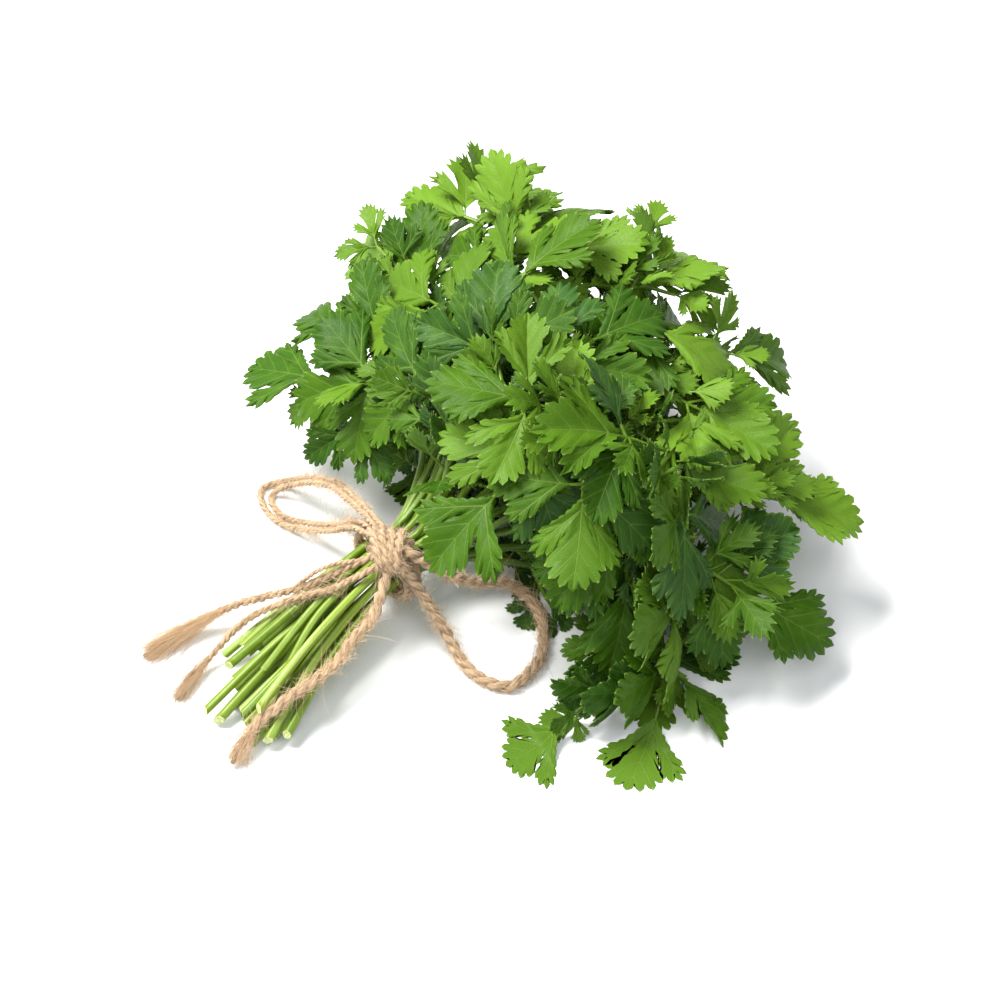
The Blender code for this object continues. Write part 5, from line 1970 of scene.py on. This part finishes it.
def brush(line, diameter, fray, draw):
    """The frayed end: fibres that start inside the rope anywhere in its last stretch, lie along it and
    spread a little, and all end about where it does. Fray is (fibres, stretch in mm, spread)."""
    count, stretch, spread = fray
    curve = spaced(line, LINE_STEP)
    back = draw.uniform(BRUSH_START, stretch, count)
    at = np.maximum(len(curve) - 1 - (back / LINE_STEP).astype(int), FIRST_ROOT)
    side, up = line_axes(curve)
    angle = draw.uniform(0, 2 * np.pi, count)[:, None]
    reach = np.sqrt(draw.uniform(0, 1, count))[:, None]
    off = (np.cos(angle) * side[at] + np.sin(angle) * up[at]) * reach
    roots = curve[at] + 0.5 * diameter * off
    wander = off + draw.normal(0, BRUSH_WANDER, (count, 3))
    ways = unit_rows(curve[-1] - curve[at] + spread * back[:, None] * wander)
    curls = draw.normal(0, BRUSH_CURL, (count, 3)) * BRUSH_FLAT
    lengths = back * draw.uniform(*BRUSH_REACH, count) + draw.uniform(*BRUSH_UNEVEN, count)
    return above_surface(fibres(roots, ways, curls, lengths, draw.uniform(*BRUSH_THICK, count)))


sample_brush = brush(sample_line, STRAND, (100, 10, 0.2), np.random.default_rng(SEED))
print("a brush of 10 mm is", np.ptp(sample_brush["points"], axis=0)[1].round(1), "mm wide")

# %% [markdown]
# ## Jute material
#
# Jute is pinkish tan and quite dull. Its colour runs in streaks along the fibres, and painted shade
# makes it darker down between the strands. Every strand carries how far along it and how far round it a
# point is, in millimetres, so a noise that is stretched along that gives the streaks, wherever the rope
# bends.

# %% Jute
# Paler loose fibres: partly their own colour, partly painted light against the shade they cast on each other.
JUTE_PALE_AND_LIT = (0.700, 0.510, 0.330, 1)
JUTE_LIGHT = (0.500, 0.355, 0.215, 1)
JUTE_MID = (0.260, 0.150, 0.080, 1)
# Painted shade for the grooves between the strands.
JUTE_GROOVE_SHADE = (0.130, 0.068, 0.032, 1)
STREAKS = (0.15, 0.85, 0.0)
JUTE_RELIEF = 0.0007


def jute_material():
    """Streaky tan, with painted shade in the grooves, where the depth is small, and paler on the loose
    fibres, whose depth is 2, partly their own colour and partly painted light against their shade."""
    made, tree, shader, _ = new_material("jute_twine")
    lay = node(tree, "ShaderNodeAttribute", attribute_name="lay").outputs["Vector"]
    _, _, depth = carried_value(tree, "lay")
    stretch = node(tree, "ShaderNodeMapping")
    stretch.inputs["Scale"].default_value = STREAKS
    tree.links.new(lay, stretch.inputs["Vector"])
    streaks = mottle(tree, stretch.outputs[0], 1.6, 4, 0.65)
    patches = mottle(tree, node(tree, "ShaderNodeTexCoord").outputs["Object"], 420, 2)
    base = blend(tree, between(tree, streaks, 0.34, 0.58), JUTE_MID, JUTE_LIGHT)
    base = blend(tree, between(tree, patches, 0.5, 0.8, 0.0, 0.4), base, JUTE_LIGHT)
    # Painted shade: darker where the depth is small, down between the strands.
    base = blend(tree, between(tree, depth, 0.3, 0.8, 0.6, 0.0), base, JUTE_GROOVE_SHADE)
    # Loose fibres painted paler: partly their own colour, partly painted light against their own shade.
    base = blend(tree, between(tree, depth, 1.2, 1.6, 0.0, 0.7), base, JUTE_PALE_AND_LIT)
    feed(tree, shader.inputs["Base Color"], base)
    shader.inputs["Roughness"].default_value = 0.85
    shader.inputs["Specular IOR Level"].default_value = 0.2
    shader.inputs["Sheen Weight"].default_value = 0.25
    shader.inputs["Sheen Roughness"].default_value = 0.5
    feed(tree, shader.inputs["Normal"], raised(tree, streaks, JUTE_RELIEF, 1.0))
    return made


jute_look = jute_material()
print("the jute material has", len(jute_look.node_tree.nodes), "nodes")

# %% [markdown]
# ## The loops and the tails
#
# Each free length is its own rope, made along its route at its real length and thickness. The lengths
# add up to what the picture shows from end to end, so none is hidden. A loop starts and ends in the knot,
# and a tail ends in a brush of its own fibres.

# %% One strand that has come loose
# It leaves the back tail beside the knot, and joins it again further on.
PARTED = 1.7
PARTED_RUN = (2.0, 30.0)
PARTED_RISE = 3.6
PARTED_WAY = (0, 0.35, 1)


def parted_line(line):
    """The tail's own line from 2 to 30 mm, raised by 3.6 mm * sin(pi t)."""
    along = np.arange(len(line)) * LINE_STEP
    part = line[(along >= PARTED_RUN[0]) & (along <= PARTED_RUN[1])]
    rise = PARTED_RISE * np.sin(np.pi * np.linspace(0, 1, len(part)))
    return part + rise[:, None] * PARTED_WAY


tail_line = smooth_route(ROUTES["tail_back"], LINE_STEP)
print("the loose strand is", line_length(parted_line(tail_line)).round(1), "mm long")

# %% Making the free twine
ROPE_STEP = 0.48
ROPE_TURN = 0.8
ROPE_DRAWS = 100

# For each tail: its brush as (fibres, stretch, spread), shares of its length, and its sizes there.
FRAYED = {
    "tail_back": ((620, 34, 0.19), (0, 0.55, 0.7, 0.85, 1), (0.84, 0.9, 0.9, 0.6, 0.4)),
    "tail_middle": ((340, 20, 0.2), (0, 0.7, 0.85, 1), (1, 1.0, 0.7, 0.45)),
    "tail_front": ((300, 14, 0.34), (0, 0.82, 0.93, 1), (1, 1.0, 0.7, 0.45)),
}

for order, (name, points) in enumerate(ROUTES.items()):
    diameter = THICKNESS[name]
    line = smooth_route(points, LINE_STEP)
    draw = np.random.default_rng((SEED, ROPE_DRAWS + order))
    swell = FRAYED[name][1:] if name in FRAYED else None
    shape = laid_rope(line, diameter, ROPE_STEP, swell=swell, turn=ROPE_TURN * order)
    piece = new_piece("jute_" + name, above_surface(shape), (jute_look,))
    loose = [fuzz(line, diameter, draw)]
    if name in FRAYED:
        loose.append(brush(line, diameter, FRAYED[name][0], draw))
    if name == "tail_back":
        loose.append(laid_rope(parted_line(line), PARTED, ROPE_STEP))
    hairs = new_piece("jute_fibres_" + name, stacked(loose), (jute_look,))
    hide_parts(name)

# %% [markdown]
# ## The turns and the knot
#
# The same doubled twine goes round the stems four times and is knotted on top. The turns are one rope on
# a helix round an oval. The knot is four turns of rope about a short bar, and every loop and tail goes
# on into it for a little way, so that none just stops at its skin.

# %% The turns round the stems
BAND_RADII = (12.6, 10.2)
BAND_SHORT = 0.02
BAND_POINTS = 90
BAND_STEP = 0.6


def band_line():
    """Four turns of an oval helix about the X axis, half a strand off the stems."""
    turns = WRAPS - BAND_SHORT
    a = np.linspace(0, 2 * np.pi * turns, int(turns * BAND_POINTS))
    x = -WRAPS * STRAND / 2 + STRAND / 2 + (WRAPS - 1) * STRAND * a / a[-1]
    across = -(BAND_RADII[0] + STRAND / 2) * np.sin(a)
    up = (BAND_RADII[1] + STRAND / 2) * np.cos(a)
    return np.column_stack([x, across, TIE_HEIGHT + up])


band = laid_rope(band_line(), STRAND, BAND_STEP)
print("round the stems:", line_length(band_line()).round(), "mm of twine")

# %% The knot
KNOT_CENTRE = np.array((-3.8, -5.8, 35.6))
KNOT_RING = (7.2, 4.0)
KNOT_TURNS = 4
KNOT_POINTS = 80
KNOT_START = -0.4
KNOT_HALF = 5.4
KNOT_FAN = 0.35
KNOT_ROPE = 3.4
KNOT_STEP = 0.5
KNOT_TURN = math.radians(-42)
KNOT_AXIS = np.array((math.cos(KNOT_TURN), math.sin(KNOT_TURN), 0))
KNOT_ACROSS = np.cross(UP, KNOT_AXIS)
BAR_HALF = 7.5
BAR_POINTS = 31
BAR_BEND = 0.02
BAR_ROPE = 6.0
BAR_SWELL = ((0, 0.2, 0.8, 1), (0.3, 1, 1, 0.3))


def knot_line():
    """Four turns about a bar that lies across the picture. With A along the bar and B across it, point a
    is centre + s (1 + 0.35 cos a) A + 7.2 cos a B + 4.0 sin a up, with s going from -5.4 to 5.4, so that
    the turns are closest together where the front tail leaves."""
    a = np.linspace(KNOT_START, 2 * np.pi * KNOT_TURNS + KNOT_START, KNOT_TURNS * KNOT_POINTS)
    s = np.linspace(-KNOT_HALF, KNOT_HALF, len(a))
    off = (s * (1 + KNOT_FAN * np.cos(a)))[:, None] * KNOT_AXIS
    across = KNOT_RING[0] * np.cos(a)[:, None] * KNOT_ACROSS
    return KNOT_CENTRE + off + across + np.outer(KNOT_RING[1] * np.sin(a), UP)


def bar_line():
    """The bar's middle: centre + b A + 0.02 b^2 up, with b going from -7.5 to 7.5."""
    b = np.linspace(-BAR_HALF, BAR_HALF, BAR_POINTS)
    return KNOT_CENTRE + np.outer(b, KNOT_AXIS) + BAR_BEND * np.outer(b**2, UP)


knot = laid_rope(knot_line(), KNOT_ROPE, KNOT_STEP, turn=1.0)
bar = laid_rope(bar_line(), BAR_ROPE, KNOT_STEP, swell=BAR_SWELL)
print("the knot measures", np.ptp(stacked([knot, bar])["points"], axis=0).round(1), "mm")

# %% The ends that go into the knot
END_POINTS = 24
INTO_KNOT = {
    "bow_loop_front": ((-1.0, -8.0, 36.2), (-3.5, -8.5, 34.6)),
    "bow_loop_back_outer": ((-1.5, -1.0, 36.6), (-4.5, -1.2, 36.2)),
    "bow_loop_back_inner": ((-3.0, -1.0, 38.0), (-3.0, -1.2, 36.0)),
    "tail_back": ((-5.0, -4.6, 36.0),),
    "tail_middle": ((-5.0, -7.0, 35.6),),
    "tail_front": ((-4.6, -8.8, 34.8),),
}


def knot_end(name, last):
    """A short length of rope from a free length's end on into the knot, in line with it."""
    route = ROUTES[name][::-1] if last else ROUTES[name]
    inner = np.array(INTO_KNOT[name][1 if last else 0])
    t = np.linspace(0, 1, END_POINTS)[:, None]
    line = hermite(inner, route[0] - inner, route[0], route[1] - route[0], t)
    return laid_rope(line, THICKNESS[name], ROPE_STEP)


ends = [knot_end(name, last) for name in ROUTES for last in range(len(INTO_KNOT[name]))]
print(len(ends), "ends go into the knot")

# %% The whole tie
KNOT_FUZZ = 3.0
TIE_DRAWS = 200

tie = new_piece("jute_tie", stacked([band, knot, bar, *ends]), (jute_look,))
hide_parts("twine_tie")

tie_draw = np.random.default_rng((SEED, TIE_DRAWS))
tie_fuzz = stacked([fuzz(band_line(), STRAND, tie_draw), fuzz(knot_line(), KNOT_FUZZ, tie_draw)])
new_piece("jute_fibres_tie", tie_fuzz, (jute_look,))
print("tie:", len(tie.data.polygons), "faces")

# %% [markdown]
# ## Floor and light
#
# The bunch lies on plain white. A large soft light from above and behind on the left makes the top
# leaves glow, and a pale surround fills the shadows, which stay soft and a little blue.

# %% The floor
FLOOR_WHITE = (0.86, 0.87, 0.88, 1)
FLOOR_ROUGH = 0.9
FLOOR_HALF = 3


def make_floor():
    """A wide flat sheet just under the bunch."""
    mesh = bpy.data.meshes.new("floor")
    corners = [(x * FLOOR_HALF, y * FLOOR_HALF, 0) for x, y in ((-1, -1), (1, -1), (1, 1), (-1, 1))]
    mesh.from_pydata(corners, [], [(0, 1, 2, 3)])
    floor = bpy.data.objects.new("floor", mesh)
    bpy.context.scene.collection.objects.link(floor)
    made, _, shader, _ = new_material("floor_white")
    shader.inputs["Base Color"].default_value = FLOOR_WHITE
    shader.inputs["Roughness"].default_value = FLOOR_ROUGH
    mesh.materials.append(made)
    return floor


floor = make_floor()
print("the floor is", floor.dimensions[0], "m wide")

# %% Lights
SURROUND = (0.97, 0.98, 0.97, 1)
SURROUND_STRENGTH = 0.36
KEY_LIGHT = {
    "azimuth": -150,
    "elevation": 62,
    "distance": 1.2,
    "size": 0.6,
    "power": 38,
    "colour": (1.0, 0.99, 0.95),
}
FILL_LIGHT = {
    "azimuth": -30,
    "elevation": 55,
    "distance": 1.5,
    "size": 1.0,
    "power": 12,
    "colour": (0.96, 0.98, 1.0),
}


def soft_light(name, azimuth, elevation, distance, size, power, colour):
    """A square lamp that looks at the middle of the bunch from a direction."""
    data = bpy.data.lights.new(name, "AREA")
    data.size = size
    data.energy = power
    data.color = colour
    lamp = bpy.data.objects.new(name, data)
    look_at_bunch(lamp, azimuth, elevation, distance)
    return lamp


def make_surround():
    """A plain pale sky on every side, which also shows behind the floor's far edge."""
    world = bpy.data.worlds.new("surround")
    world.use_nodes = True
    background = world.node_tree.nodes["Background"]
    background.inputs["Color"].default_value = SURROUND
    background.inputs["Strength"].default_value = SURROUND_STRENGTH
    bpy.context.scene.world = world


make_surround()
lamps = [soft_light("key", **KEY_LIGHT), soft_light("fill", **FILL_LIGHT)]
bpy.context.scene.view_settings.view_transform = "Standard"
print("lamps:", *(lamp.name for lamp in lamps))
